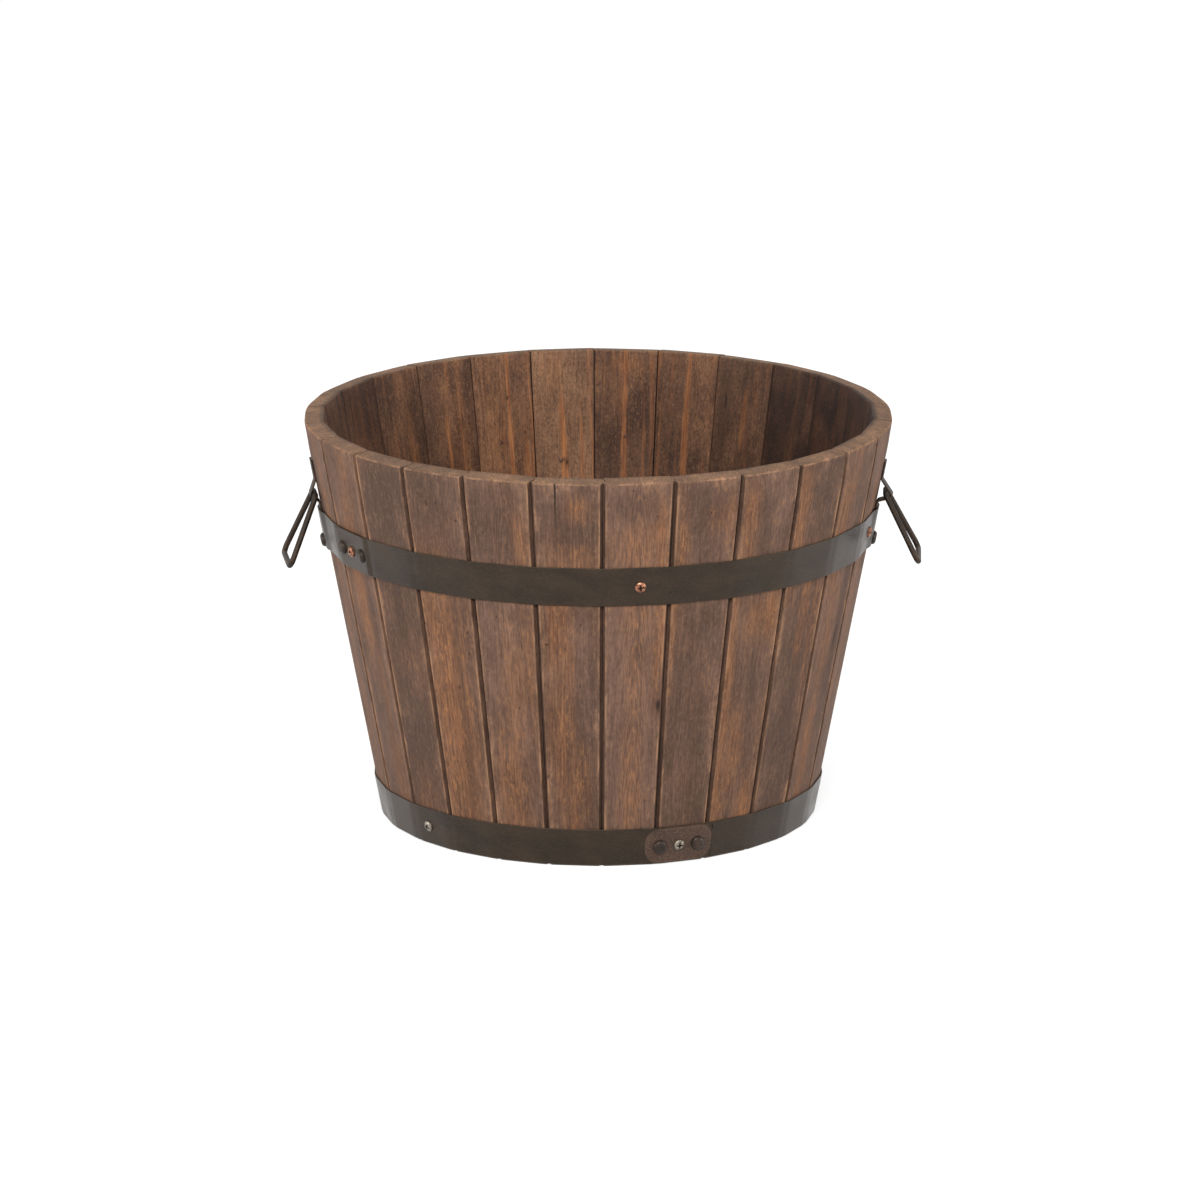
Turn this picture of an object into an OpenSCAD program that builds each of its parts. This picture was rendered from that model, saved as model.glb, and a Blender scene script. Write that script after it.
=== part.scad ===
// Wooden barrel planter: straight tapered staves in two lapped steel hoops, a boarded
// base on battens, and a drop ring on each side. Millimetres, +Z up. The origin is on
// the floor under the tub's centre. A joint between two staves faces -Y, the rings hang
// towards -X and +X. Azimuths are measured from -Y, positive towards +X.

/* [Tub] */
// Height of the staves
tub_h = 346; // [250:1:450]
// Diameter over the corners of the staves at the rim
rim_d = 501; // [440:1:600]
// Diameter over the corners of the staves at the foot
foot_d = 369; // [340:1:420]
// Number of staves
stave_count = 26; // [22:2:30]
// Thickness of a stave
wall = 17; // [15:0.5:24]
// Slope of the staves' top ends, which fall towards the outside
rim_slope = 7; // [0:0.5:10]

/* [Stave joints] */
// Width of the open groove between two staves
groove_w = 4; // [2:0.5:6]
// Depth of the open groove
groove_depth = 4; // [3:0.5:8]
// Bevel along the edges of the groove
edge_ease = 0.8; // [0.3:0.1:1.5]
// Bevel along the edges of the rim
rim_ease = 1.5; // [0.5:0.1:3]
// Width of the bead that seats in the next stave's cove
bead_w = 8; // [6:0.5:9]
// How far the bead stands out of its stave
bead_out = 1.6; // [1:0.1:2]
// Clearance round the bead
bead_gap = 0.1; // [0.05:0.05:0.3]

/* [Hoops] */
// Thickness of the hoop steel
hoop_t = 1.5; // [1:0.1:3]
// Height of the upper hoop
upper_hoop_h = 34; // [25:1:45]
// Distance from the rim down to the upper hoop
upper_hoop_drop = 76; // [75:1:87]
// Height of the lower hoop
lower_hoop_h = 33; // [25:1:40]
// Gap between the floor and the lower hoop
lower_hoop_lift = 1; // [0.5:0.5:3]
// Azimuth of the upper hoop's lap
upper_lap_az = -62.3; // [-70:0.1:-50]
// Azimuth of the lower hoop's lap
lower_lap_az = 19.9; // [10:0.1:30]
// Which way the upper hoop's visible end points: 1 with the azimuth, -1 against it
upper_lap_way = -1; // [-1:2:1]
// The same for the lower hoop
lower_lap_way = 1; // [-1:2:1]
// Overlap from the lap screw to the outer, visible end
lap_ahead = 30; // [24:1:40]
// Overlap from the lap screw to the hidden end
lap_behind = 24; // [24:1:34]
// Distance from the lap screw to each rivet
lap_rivet_gap = 17; // [14:1:22]
// Number of screws in each hoop
hoop_screw_count = 5; // [3:1:5]
// Angle from one screw of the upper hoop to the next
upper_screw_step = 70; // [60:0.5:75]
// Angle from one screw of the lower hoop to the next
lower_screw_step = 72.5; // [60:0.5:75]

/* [Fasteners] */
// Head diameter of a hoop screw
screw_head_d = 9; // [7:0.5:11]
// Head height of a hoop screw
screw_head_h = 2.6; // [2:0.1:3.5]
// Shank diameter of a screw
screw_d = 4; // [3:0.5:5]
// Length of a hoop screw under its head
hoop_screw_l = 14; // [8:0.5:16]
// Length of a batten screw under its head
batten_screw_l = 24; // [16:1:26]
// Head diameter of a rivet
rivet_head_d = 12; // [9:0.5:13]
// Head height of a rivet
rivet_head_h = 3.6; // [2:0.1:5]
// Shank diameter of a rivet
rivet_d = 5; // [4:0.5:6]
// Clearance round the shanks
shank_gap = 0.05; // [0.02:0.01:0.2]

/* [Base] */
// Height of the base's underside above the floor
base_z = 28; // [24:1:60]
// Thickness of the base boards
base_t = 16; // [12:1:22]
// Number of base boards
board_count = 5; // [4:1:6]
// Gap between two base boards
board_gap = 1; // [0.5:0.5:3]
// How deep the base sits in the staves
croze_depth = 5; // [3:0.5:8]
// Clearance between the base's edge and the staves
croze_gap = 0.3; // [0.1:0.1:1]
// Diameter of a drain hole
drain_d = 14; // [8:1:20]
// Distance from the middle to the outer drain holes, along X
drain_x = 70; // [60:1:80]
// Distance from the middle to the outer drain holes, along Y
drain_y = 115; // [105:1:120]
// Width of a batten
batten_w = 30; // [20:1:34]
// Thickness of a batten
batten_t = 12; // [8:1:16]
// Distance from the middle to each batten's centre line
batten_y = 70; // [60:1:75]
// Gap between the battens' ends and the staves
batten_gap = 4; // [2:1:8]

/* [Handles] */
// Azimuth of the handles, which sit on the nearest stave joint
handle_az = 83; // [77:1:96]
// Width of a handle strap
strap_w = 12; // [9:0.5:14]
// Thickness of a handle strap
strap_t = 2; // [1.5:0.1:3]
// Distance from the rim down to the strap's top
strap_top = 32; // [22:1:38]
// Distance from the rim down to where the strap is bent out
loop_top = 50; // [46:1:52]
// Distance from the rim down to the strap loop's tip
loop_tip = 63.5; // [62:0.5:65]
// Distance from the rim down to where the strap is back on the staves
loop_foot = 72; // [71:0.5:74]
// Distance from the rim down to the ring's pivot
pivot_drop = 63.5; // [61:0.5:64]
// Height of the strap rivet above the upper hoop's lower edge
strap_rivet_up = 7; // [6.5:0.5:17]
// Diameter of the ring's rod
rod_d = 5; // [4:0.5:6]
// Width of the ring at its pivot, between rod centres
ring_top_w = 22; // [21:0.5:28]
// Width of the ring at its grip, between rod centres
ring_grip_w = 57; // [45:1:70]
// Length of the ring from its pivot to its grip
ring_l = 61.5; // [50:0.5:75]
// Bend radius at the ring's top corners
ring_top_bend = 4; // [3.5:0.5:6]
// Bend radius at the ring's grip corners
ring_grip_bend = 6; // [4:0.5:10]
// Distance from the left ring's pivot to the staves
left_pivot_out = 2.9; // [2.8:0.1:5]
// Distance from the left ring's rod to the tip of its strap's loop
left_loop_room = 2.3; // [2:0.1:5]
// How far the left ring hangs away from straight down
left_swing = 22.7; // [0:0.1:45]
// How far the left ring sits askew in its strap
left_twist = 0; // [-5:0.5:5]
// Distance from the right ring's pivot to the staves
right_pivot_out = 5.5; // [5:0.1:7]
// Distance from the right ring's rod to the tip of its strap's loop
right_loop_room = 4.5; // [4:0.1:6]
// How far the right ring hangs away from straight down
right_swing = 27.1; // [0:0.1:45]
// How far the right ring sits askew in its strap
right_twist = 4; // [-10:0.5:10]

/* [Hidden] */
wood = "#6f5443";
base_wood = "#7c6350";
steel = "#35302d";
copper = "#9a5f4c";
zinc = "#5d5755";

$fn = 48;
over = 1; // how far a cut runs past the surface it opens
strap_side_gap = 0.3; // between a handle strap's edge and the bend of the hoop over it
strap_rise = 10; // length over which the hoop rises from the wood to the strap's edge
pitch = 360 / stave_count;
rim_r = rim_d / 2;
foot_r = foot_d / 2;
ridge_tilt = atan((rim_r - foot_r) / tub_h); // slope of the corners between staves
face_tilt = atan((rim_r - foot_r) * cos(pitch / 2) / tub_h); // slope of the staves' faces
slope_l = tub_h / cos(ridge_tilt);
// How far the outer edge of a stave's top end lies below its inner edge
rim_drop = wall / cos(face_tilt) * tan(rim_slope) / (1 + tan(rim_slope) * tan(face_tilt));
stave_w = 2 * rim_r * sin(pitch / 2);
upper_hoop_z = tub_h - upper_hoop_drop - upper_hoop_h;
base_r = inner_r(base_z) + croze_depth;
board_w = 2 * base_r / board_count;
batten_l = 2 * sqrt(pow(inner_r(base_z - batten_t) - batten_gap, 2)
    - pow(batten_y + batten_w / 2, 2));
bead_r = (bead_w * bead_w / 4 + bead_out * bead_out) / (2 * bead_out);
bead_depth = (groove_depth + wall) / 2;
handle_joint = round(handle_az / pitch);
strap_seat = -(groove_w / 2 + edge_ease) * tan(pitch / 2); // back of the strap, from the ridge
strap_half_az = atan((strap_w / 2 + strap_side_gap) / ridge_r(upper_hoop_z));
strap_rise_az = strap_half_az + atan(strap_rise / ridge_r(upper_hoop_z));

// Radius of the corner between two staves, of their outer and of their inner faces
function ridge_r(z) = foot_r + (rim_r - foot_r) * z / tub_h;
function flat_r(z) = ridge_r(z) * cos(pitch / 2);
function inner_r(z) = flat_r(z) - wall / cos(face_tilt);

// Azimuth of the middle of the stave that az falls on
function stave_az(az) = pitch * (floor(az / pitch) + 0.5);
function polar(az, r) = [r * sin(az), -r * cos(az)];
// A fastener keeps to the middle part of its stave, clear of the joints
function on_stave(az) = stave_az(az)
    + max(-0.3 * pitch, min(0.3 * pitch, az - stave_az(az)));
function along_hoop(dist, z) = dist / flat_r(z) * 180 / PI;
function hoop_screw_az(lap_az, step, i) = on_stave(lap_az + i * step);

module at_az(az) rotate([0, 0, az - 90]) children();

// Local frames on a stave's face and on a corner: X outwards, Z up the slope
module on_face(az, z) {
    mid = stave_az(az);
    at_az(mid)
        translate([flat_r(z), flat_r(z) * tan(az - mid), z])
            rotate([0, face_tilt, 0]) children();
}
module on_ridge(az, z) {
    at_az(az) translate([ridge_r(z), 0, z]) rotate([0, ridge_tilt, 0]) children();
}

// ---------- staves ----------

module stave_bead(joint, r) {
    on_ridge(pitch * joint, 0)
        translate([-bead_depth, bead_out - bead_r, -wall])
            cylinder(r = r, h = slope_l + 2 * wall);
}

module stave_body(i) {
    mid = pitch * (i + 0.5);
    reach = 1.2 * rim_r;
    intersection() {
        at_az(mid) translate([flat_r(0), 0, 0]) rotate([0, face_tilt, 0])
            translate([-wall, -stave_w, -wall])
                cube([wall, 2 * stave_w, slope_l + 2 * wall]);
        union() {
            linear_extrude(tub_h)
                polygon([[0, 0], polar(mid - pitch / 2, reach), polar(mid + pitch / 2, reach)]);
            intersection() {
                stave_bead(i + 1, bead_r);
                translate([-reach, -reach, 0]) cube([2 * reach, 2 * reach, tub_h]);
            }
        }
    }
}

module groove_cut(joint) {
    bevel = edge_ease * sqrt(2);
    on_ridge(pitch * joint, 0) {
        translate([-groove_depth, -groove_w / 2, -wall])
            cube([groove_depth + over, groove_w, slope_l + 2 * wall]);
        for (side = [-1, 1])
            translate([-groove_w / 2 * tan(pitch / 2), side * groove_w / 2, slope_l / 2])
                rotate([0, 0, 45]) cube([bevel, bevel, slope_l + 2 * wall], center = true);
    }
}

module rim_cut(i) {
    bevel = rim_ease * sqrt(2);
    outer_z = tub_h - rim_drop;
    at_az(pitch * (i + 0.5)) {
        translate([inner_r(tub_h), -stave_w, tub_h]) rotate([0, rim_slope, 0])
            cube([2 * wall, 2 * stave_w, wall]);
        for (edge = [[flat_r(outer_z), outer_z], [inner_r(tub_h), tub_h]])
            translate([edge[0], 0, edge[1]]) rotate([0, 45, 0])
                cube([bevel, 2 * stave_w, bevel], center = true);
    }
}

module screw_hole(az, z, depth) {
    on_face(az, z) translate([over, 0, 0]) rotate([0, -90, 0])
        cylinder(d = screw_d + 2 * shank_gap, h = depth + over);
}

module stave_screw_holes(i) {
    for (hoop = [[upper_hoop_z + upper_hoop_h / 2, upper_lap_az, upper_screw_step],
                 [lower_hoop_lift + lower_hoop_h / 2, lower_lap_az, lower_screw_step]])
        for (k = [0 : hoop_screw_count - 1]) {
            az = hoop_screw_az(hoop[1], hoop[2], k);
            if ((floor(az / pitch) - i) % stave_count == 0) screw_hole(az, hoop[0], hoop_screw_l);
        }
}

module stave(i) {
    color(wood) difference() {
        stave_body(i);
        stave_bead(i, bead_r + bead_gap);
        groove_cut(i);
        groove_cut(i + 1);
        rim_cut(i);
        translate([0, 0, base_z]) cylinder(r = base_r, h = base_t, $fn = 96);
        stave_screw_holes(i);
    }
}

// ---------- hoops ----------

// A band through stations of four corners each: inside and outside at its lower edge,
// then outside and inside at its upper edge
module band(stations, closed) {
    last = len(stations) - 1;
    walls = [
        for (i = [0 : closed ? last : last - 1]) for (s = [0 : 3])
            let (j = (i + 1) % len(stations), t = (s + 1) % 4)
                [4 * i + s, 4 * i + t, 4 * j + t, 4 * j + s]
    ];
    ends = closed ? [] : [[3, 2, 1, 0], [for (s = [0 : 3]) 4 * last + s]];
    polyhedron([for (st = stations) each st], concat(walls, ends));
}

function station(az, r_in0, r_out0, r_in1, r_out1, z0, z1) = [
    [each polar(az, r_in0), z0], [each polar(az, r_out0), z0],
    [each polar(az, r_out1), z1], [each polar(az, r_in1), z1]
];

// Where a band that lies on the staves has its corner at az, off outside the wood
function face_reach(az, z, off) =
    (flat_r(z) + off / cos(face_tilt)) / cos(az - stave_az(az));
function face_station(az, off0, off1, z0, z1) = station(az,
    face_reach(az, z0, off0), face_reach(az, z0, off1),
    face_reach(az, z1, off0), face_reach(az, z1, off1), z0, z1);

// The same where it passes over a handle strap
function strap_reach(z, off) =
    (ridge_r(z) + (strap_seat + strap_t + off) / cos(ridge_tilt)) / cos(strap_half_az);
function strap_station(az, off0, off1, z0, z1) = station(az,
    strap_reach(z0, off0), strap_reach(z0, off1),
    strap_reach(z1, off0), strap_reach(z1, off1), z0, z1);

// The band of a hoop, which the straps push out at their joints
module hoop_band(z0, z1, over_straps) {
    band([
        for (j = [0 : stave_count - 1])
            let (az = pitch * j, strap = over_straps
                && (j == handle_joint || j == stave_count - handle_joint))
                each strap
                    ? [face_station(az - strap_rise_az, 0, hoop_t, z0, z1),
                       strap_station(az - strap_half_az, 0, hoop_t, z0, z1),
                       strap_station(az + strap_half_az, 0, hoop_t, z0, z1),
                       face_station(az + strap_rise_az, 0, hoop_t, z0, z1)]
                    : [face_station(az, 0, hoop_t, z0, z1)]
    ], true);
}

// The hoop's outer end, lapped over its inner end: it rises from the band and is cut square
module hoop_lap(lap_az, way, z0, z1) {
    start = lap_az - way * along_hoop(lap_behind, z0);
    end = lap_az + way * along_hoop(lap_ahead, z0);
    first = min(start, end);
    last = max(start, end);
    joints = [for (j = [ceil(first / pitch) : floor(last / pitch)]) pitch * j];
    over = [for (az = concat([first], joints, [last]))
        face_station(az, hoop_t / 2, 2 * hoop_t, z0, z1)];
    rise = [face_station(start - way * along_hoop(4 * hoop_t, z0),
        hoop_t / 2, hoop_t, z0, z1)];
    band(way > 0 ? concat(rise, over) : concat(over, rise), false);
}

module hoop(z0, h, lap_az, way, screw_step, over_straps) {
    z_mid = z0 + h / 2;
    lap = on_stave(lap_az);
    difference() {
        union() {
            hoop_band(z0, z0 + h, over_straps);
            hoop_lap(lap, way, z0, z0 + h);
        }
        for (k = [0 : hoop_screw_count - 1])
            on_face(hoop_screw_az(lap_az, screw_step, k), z_mid) rotate([0, 90, 0])
                cylinder(d = screw_d + 2 * shank_gap, h = 6 * hoop_t, center = true);
        for (side = [-1, 1])
            on_face(lap + side * along_hoop(lap_rivet_gap, z_mid), z_mid) rotate([0, 90, 0])
                cylinder(d = rivet_d + 2 * shank_gap, h = 6 * hoop_t, center = true);
        if (over_straps)
            for (side = [-1, 1]) on_strap_rivet(side) rotate([0, 90, 0])
                cylinder(d = rivet_d + 2 * shank_gap, h = 8 * hoop_t, center = true);
    }
}

module upper_hoop() {
    color(steel) hoop(upper_hoop_z, upper_hoop_h, upper_lap_az, upper_lap_way,
        upper_screw_step, true);
}
module lower_hoop() {
    color(steel) hoop(lower_hoop_lift, lower_hoop_h, lower_lap_az, lower_lap_way,
        lower_screw_step, false);
}

// ---------- fasteners ----------

// A head of the given height at its middle and edge, on a shank that points down
module domed_head(d, h, edge_h) {
    cap_r = (d * d / 4 + pow(h - edge_h, 2)) / (2 * (h - edge_h));
    intersection() {
        translate([0, 0, h - cap_r]) sphere(cap_r, $fn = 64);
        cylinder(d = d, h = h);
    }
}

module screw(length) {
    tip = screw_d;
    cross = 0.5 * screw_head_d;
    slot_w = 0.13 * screw_head_d;
    slot_depth = 0.5 * screw_head_h;
    difference() {
        domed_head(screw_head_d, screw_head_h, 0.35 * screw_head_h);
        for (turn = [0, 90])
            rotate([0, 0, 45 + turn])
                translate([-cross / 2, -slot_w / 2, screw_head_h - slot_depth])
                    cube([cross, slot_w, slot_depth + over]);
    }
    translate([0, 0, tip - length]) cylinder(d = screw_d, h = length - tip);
    translate([0, 0, -length]) cylinder(d1 = 0.1 * screw_d, d2 = screw_d, h = tip);
}

module rivet(grip) {
    domed_head(rivet_head_d, rivet_head_h, 0.15 * rivet_head_h);
    translate([0, 0, -grip]) cylinder(d = rivet_d, h = grip);
}

// The first screw goes through both layers of the lap
module hoop_screws(z_mid, lap_az, step) {
    for (k = [0 : hoop_screw_count - 1]) {
        seat = (k == 0 ? 2 : 1) * hoop_t;
        on_face(hoop_screw_az(lap_az, step, k), z_mid)
            translate([seat, 0, 0]) rotate([0, 90, 0]) screw(hoop_screw_l);
    }
}

module hoop_rivets(z_mid, lap_az) {
    for (side = [-1, 1])
        on_face(on_stave(lap_az) + side * along_hoop(lap_rivet_gap, z_mid), z_mid)
            translate([2 * hoop_t, 0, 0]) rotate([0, 90, 0]) rivet(2 * hoop_t);
}

module upper_hoop_screws() {
    color(copper)
        hoop_screws(upper_hoop_z + upper_hoop_h / 2, upper_lap_az, upper_screw_step);
}
module lower_hoop_screws() {
    color(zinc)
        hoop_screws(lower_hoop_lift + lower_hoop_h / 2, lower_lap_az, lower_screw_step);
}
module upper_hoop_rivets() {
    color(steel) hoop_rivets(upper_hoop_z + upper_hoop_h / 2, upper_lap_az);
}
module lower_hoop_rivets() {
    color(steel) hoop_rivets(lower_hoop_lift + lower_hoop_h / 2, lower_lap_az);
}

// ---------- base ----------

function board_x(i) = -base_r + i * board_w;
// The middle of the stretch where board i lies on a batten
function batten_screw_x(i) =
    (max(board_x(i), -batten_l / 2) + min(board_x(i + 1), batten_l / 2)) / 2;

module drain_holes() {
    places = concat([[0, 0]], [for (x = [-1, 1]) for (y = [-1, 1]) [x * drain_x, y * drain_y]]);
    for (p = places)
        translate([p[0], p[1], base_z - over]) cylinder(d = drain_d, h = base_t + 2 * over);
}

module batten_screw_holes(i, side) {
    translate([batten_screw_x(i), side * batten_y, base_z - batten_t - over])
        cylinder(d = screw_d + 2 * shank_gap, h = batten_screw_l + over);
}

module base_board(i) {
    color(base_wood) difference() {
        intersection() {
            translate([0, 0, base_z]) cylinder(r = base_r - croze_gap, h = base_t, $fn = 96);
            translate([board_x(i) + board_gap / 2, -base_r, base_z])
                cube([board_w - board_gap, 2 * base_r, base_t]);
        }
        drain_holes();
        for (side = [-1, 1]) batten_screw_holes(i, side);
    }
}

module batten(side) {
    color(base_wood) difference() {
        translate([-batten_l / 2, side * batten_y - batten_w / 2, base_z - batten_t])
            cube([batten_l, batten_w, batten_t]);
        for (i = [0 : board_count - 1]) batten_screw_holes(i, side);
    }
}

module batten_screws() {
    color(zinc) for (side = [-1, 1]) for (i = [0 : board_count - 1])
        translate([batten_screw_x(i), side * batten_y, base_z - batten_t])
            rotate([180, 0, 0]) screw(batten_screw_l);
}

// ---------- handles ----------

// Side -1 is the left handle and 1 the right one
function handle_side_az(side) = side * pitch * handle_joint;
function pivot_out(side) = side < 0 ? left_pivot_out : right_pivot_out;
function loop_room(side) = side < 0 ? left_loop_room : right_loop_room;

module on_strap_rivet(side) {
    on_ridge(handle_side_az(side), upper_hoop_z + strap_rivet_up)
        translate([strap_seat + strap_t, 0, 0]) children();
}

// One side of a strip along a path in the XY plane, off to its left, mitred at the bends
function strip_side(path, off) = let (
    way = [for (i = [0 : len(path) - 2]) let (run = path[i + 1] - path[i]) run / norm(run)],
    left = [for (w = way) [-w[1], w[0]]]
) [
    for (i = [0 : len(path) - 1])
        let (before = left[max(i - 1, 0)], after = left[min(i, len(path) - 2)])
            path[i] + off * (before + after) / (1 + before * after)
];

module strip(path, t) {
    right_side = strip_side(path, -t / 2);
    polygon(concat(strip_side(path, t / 2),
                   [for (i = [len(path) - 1 : -1 : 0]) right_side[i]]));
}

module handle_strap(side) {
    back = strap_seat + strap_t / 2;
    tip = pivot_out(side) + rod_d / 2 + loop_room(side) + strap_t / 2;
    end = (tub_h - upper_hoop_z) / cos(ridge_tilt) - 1;
    color(steel) difference() {
        on_ridge(handle_side_az(side), tub_h) rotate([90, 0, 0])
            linear_extrude(strap_w, center = true)
                strip([[back, -strap_top], [back, -loop_top], [tip, -loop_tip],
                       [back, -loop_foot], [back, -end]], strap_t);
        on_strap_rivet(side) rotate([0, 90, 0])
            cylinder(d = rivet_d + 2 * shank_gap, h = 4 * strap_t, center = true);
    }
}

module handle_rivet(side) {
    color(steel) on_strap_rivet(side) translate([hoop_t, 0, 0]) rotate([0, 90, 0])
        rivet(hoop_t + strap_t);
}

// A closed loop of round rod through corner points, which go round anticlockwise. The
// straights run a little way into the bends, which are a hair slimmer.
module rod_loop(corners, bends) {
    lap = 0.1;
    bend_d = rod_d - 0.02;
    n = len(corners);
    way = [for (i = [0 : n - 1]) let (run = corners[(i + 1) % n] - corners[i]) run / norm(run)];
    turn = [for (i = [0 : n - 1]) acos(way[(i + n - 1) % n] * way[i])];
    cut = [for (i = [0 : n - 1]) bends[i] * tan(turn[i] / 2)];
    for (i = [0 : n - 1]) {
        next = (i + 1) % n;
        back = way[(i + n - 1) % n];
        start = corners[i] + (cut[i] - lap) * way[i];
        run = norm(corners[next] - corners[i]) - cut[i] - cut[next] + 2 * lap;
        translate(start) rotate([0, 90, atan2(way[i][1], way[i][0])])
            cylinder(d = rod_d, h = run, $fn = 32);
        centre = corners[i] - cut[i] * back + bends[i] * [-back[1], back[0]];
        translate(centre) rotate([0, 0, atan2(-back[0], back[1])])
            rotate_extrude(angle = turn[i])
                translate([bends[i], 0]) circle(d = bend_d, $fn = 32);
    }
}

// The ring hangs from its top bar, which is the hinge: out from the staves by
// pivot_out, askew by twist and away from straight down by swing
module handle_ring(side, twist, swing) {
    top = ring_top_w / 2;
    grip = ring_grip_w / 2;
    color(steel) on_ridge(handle_side_az(side), tub_h)
        translate([pivot_out(side), 0, -pivot_drop])
            rotate([0, -ridge_tilt, 0]) rotate([0, 0, twist]) rotate([0, -swing, 0])
                rotate([90, 0, 90])
                    rod_loop([[-top, 0], [-grip, -ring_l], [grip, -ring_l], [top, 0]],
                             [ring_top_bend, ring_grip_bend, ring_grip_bend, ring_top_bend]);
}

// ---------- nodes ----------

function numbered(name, i) = str(name, i < 9 ? "0" : "", i + 1);

for (i = [0 : stave_count - 1])
    stave(i);
upper_hoop();
lower_hoop();
upper_hoop_screws();
lower_hoop_screws();
upper_hoop_rivets();
lower_hoop_rivets();
for (i = [0 : board_count - 1])
    base_board(i);
batten(-1);  // front_batten
batten(1);  // rear_batten
batten_screws();
handle_strap(-1);  // left_handle_strap
handle_strap(1);  // right_handle_strap
handle_rivet(-1);  // left_handle_rivet
handle_rivet(1);  // right_handle_rivet
handle_ring(-1, left_twist, left_swing);  // left_handle_ring
handle_ring(1, right_twist, right_swing);  // right_handle_ring
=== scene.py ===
"""Looks of the wooden barrel planter: stained staves, black hoops and drop rings.

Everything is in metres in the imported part's frame: +Z up, -Y the front, the origin on
the floor on the tub's axis. Azimuths are measured from -Y, positive towards +X.
"""
import random
from math import atan, cos, exp, floor, pi, radians, sin, sqrt, tan, tau

import bpy
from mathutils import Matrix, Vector, noise


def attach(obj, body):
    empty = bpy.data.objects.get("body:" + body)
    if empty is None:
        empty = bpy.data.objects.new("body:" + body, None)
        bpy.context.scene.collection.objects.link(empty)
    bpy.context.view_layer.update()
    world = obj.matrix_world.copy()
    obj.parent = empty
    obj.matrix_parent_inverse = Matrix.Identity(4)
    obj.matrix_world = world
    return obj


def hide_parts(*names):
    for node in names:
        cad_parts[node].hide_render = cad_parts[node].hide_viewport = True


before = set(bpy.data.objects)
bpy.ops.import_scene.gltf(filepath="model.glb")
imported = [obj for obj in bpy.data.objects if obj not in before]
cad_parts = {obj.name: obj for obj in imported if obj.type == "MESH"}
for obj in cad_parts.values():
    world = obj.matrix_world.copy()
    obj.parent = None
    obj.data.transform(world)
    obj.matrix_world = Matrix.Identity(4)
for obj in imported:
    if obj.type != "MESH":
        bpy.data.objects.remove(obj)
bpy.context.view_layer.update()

# ---- sizes, as in the part's source ----

TUB_H = 0.346
RIM_R = 0.2505  # over the corners between the staves, as is FOOT_R
FOOT_R = 0.1845
STAVES = 26
WALL = 0.017
RIM_SLOPE = radians(7)
GROOVE_W = 0.004
GROOVE_DEPTH = 0.004
BEAD_W = 0.008
BEAD_OUT = 0.0016
HOOP_T = 0.0015
HOOP_SCREWS = 5
SCREW_R = 0.0045
SCREW_H = 0.0026
RIVET_R = 0.0060
RIVET_H = 0.0036
LAP_RIVET_AWAY = 0.017  # from the lap's screw, along the hoop
STRAP_RIVET_RISE = 0.007  # above the upper hoop's lower edge
STRAP_W = 0.012
STRAP_SIDE_GAP = 0.0003
HANDLE_JOINT = 6  # the handles sit on the sixth joint from the front, each way
PIVOT_DROP = 0.0635
ROD_R = 0.0025
RING_TOP = 0.011
RING_GRIP = 0.0285
RING_L = 0.0615
RING_BENDS = (0.004, 0.006, 0.006, 0.004)
# Each hoop's heights, the azimuth of its lap's screw and the way its visible end points,
# the step between screws in degrees, and how strong the brown stain on its lap is
UPPER_HOOP = {"name": "upper_hoop", "z": (0.236, 0.270), "lap": -62.3, "way": -1,
              "screw_step": 70.0, "stain": 0.0, "over_straps": True}
LOWER_HOOP = {"name": "lower_hoop", "z": (0.001, 0.034), "lap": 19.9, "way": 1,
              "screw_step": 72.5, "stain": 0.75, "over_straps": False}
# Each handle's pivot outside the ridge, the strap's room round the rod, the ring's swing
# and twist in degrees, and how far below the rim its strap's top and loop lie
HANDLES = {
    "left": {"side": -1, "out": 0.0029, "room": 0.0006, "swing": 22.7, "twist": 0.0,
             "strap_top": 0.0335, "loop": (0.0515, 0.0635, 0.0710)},
    "right": {"side": 1, "out": 0.0055, "room": 0.0038, "swing": 27.1, "twist": 4.0,
              "strap_top": 0.0370, "loop": (0.0530, 0.0660, 0.0720)},
}

# ---- finer sizes, for the looks alone ----

EDGE_EASE = 0.0008
RIM_EASE = 0.0015
SEAM = 0.0002  # half the gap between neighbours behind the groove
CROWN = 0.0003
RIM_CROWN = 0.0007
RIM_CROWN_FROM = 0.93  # share of the height
SLOPE_FROM = 0.88
WALL_BEND = 0.55  # where a groove's wall bends, as a share of its depth
WALL_BEND_OPEN = 0.85  # and how far it's open there and at its floor
FLOOR_OPEN = 0.5
INNER_GAP = 0.0005
OUTER_DENT = 0.00025
INNER_DENT = 0.0005
WORN_W = 0.0020
RUBBED_W = 0.007
HOOP_EASE = 0.0004
HOOP_TUCK = 0.0002  # the turned-in back edges
HOOP_BEHIND = 0.0003
HOOP_DENT = 0.00018
HOOP_WAVE = 0.0004
RIDGE_CUT = 0.0007  # a hoop bends softly round each ridge
RIDGE_REACH = 0.0035
LAP_AHEAD = 0.030
LAP_BEHIND = 0.024
LAP_RAMP = 0.006
LAP_CORNER = 0.009
LAP_WORN = 0.0008
STAIN_HALF = (0.0290, 0.0155)
STAIN_CORNER = 0.012
HEAD_BACK = 0.0002  # how far a head's back edge lies below its seat
RIVET_SKIRT = 0.0006
RIVET_FLAT = 0.00045
RIVET_DENT = 0.00022
RIVET_SINK = 0.0002
SCREW_SINK = 0.0001
CROSS_HALF = (0.0026, 0.00058)
CROSS_DEPTH = 0.0011
STRAP_T = 0.0015
STRAP_EASE = 0.00045
STRAP_RISE = 0.014  # the length over which a hoop climbs onto a strap
STRAP_BENDS = (0, 0.005, 0.0022, 0.003, 0)
STRAP_SETTLE = 0.003  # how far off the wood a strap is no longer hammered to it
ROD_DENT = 0.00012
ROD_STEP = 0.006
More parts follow.
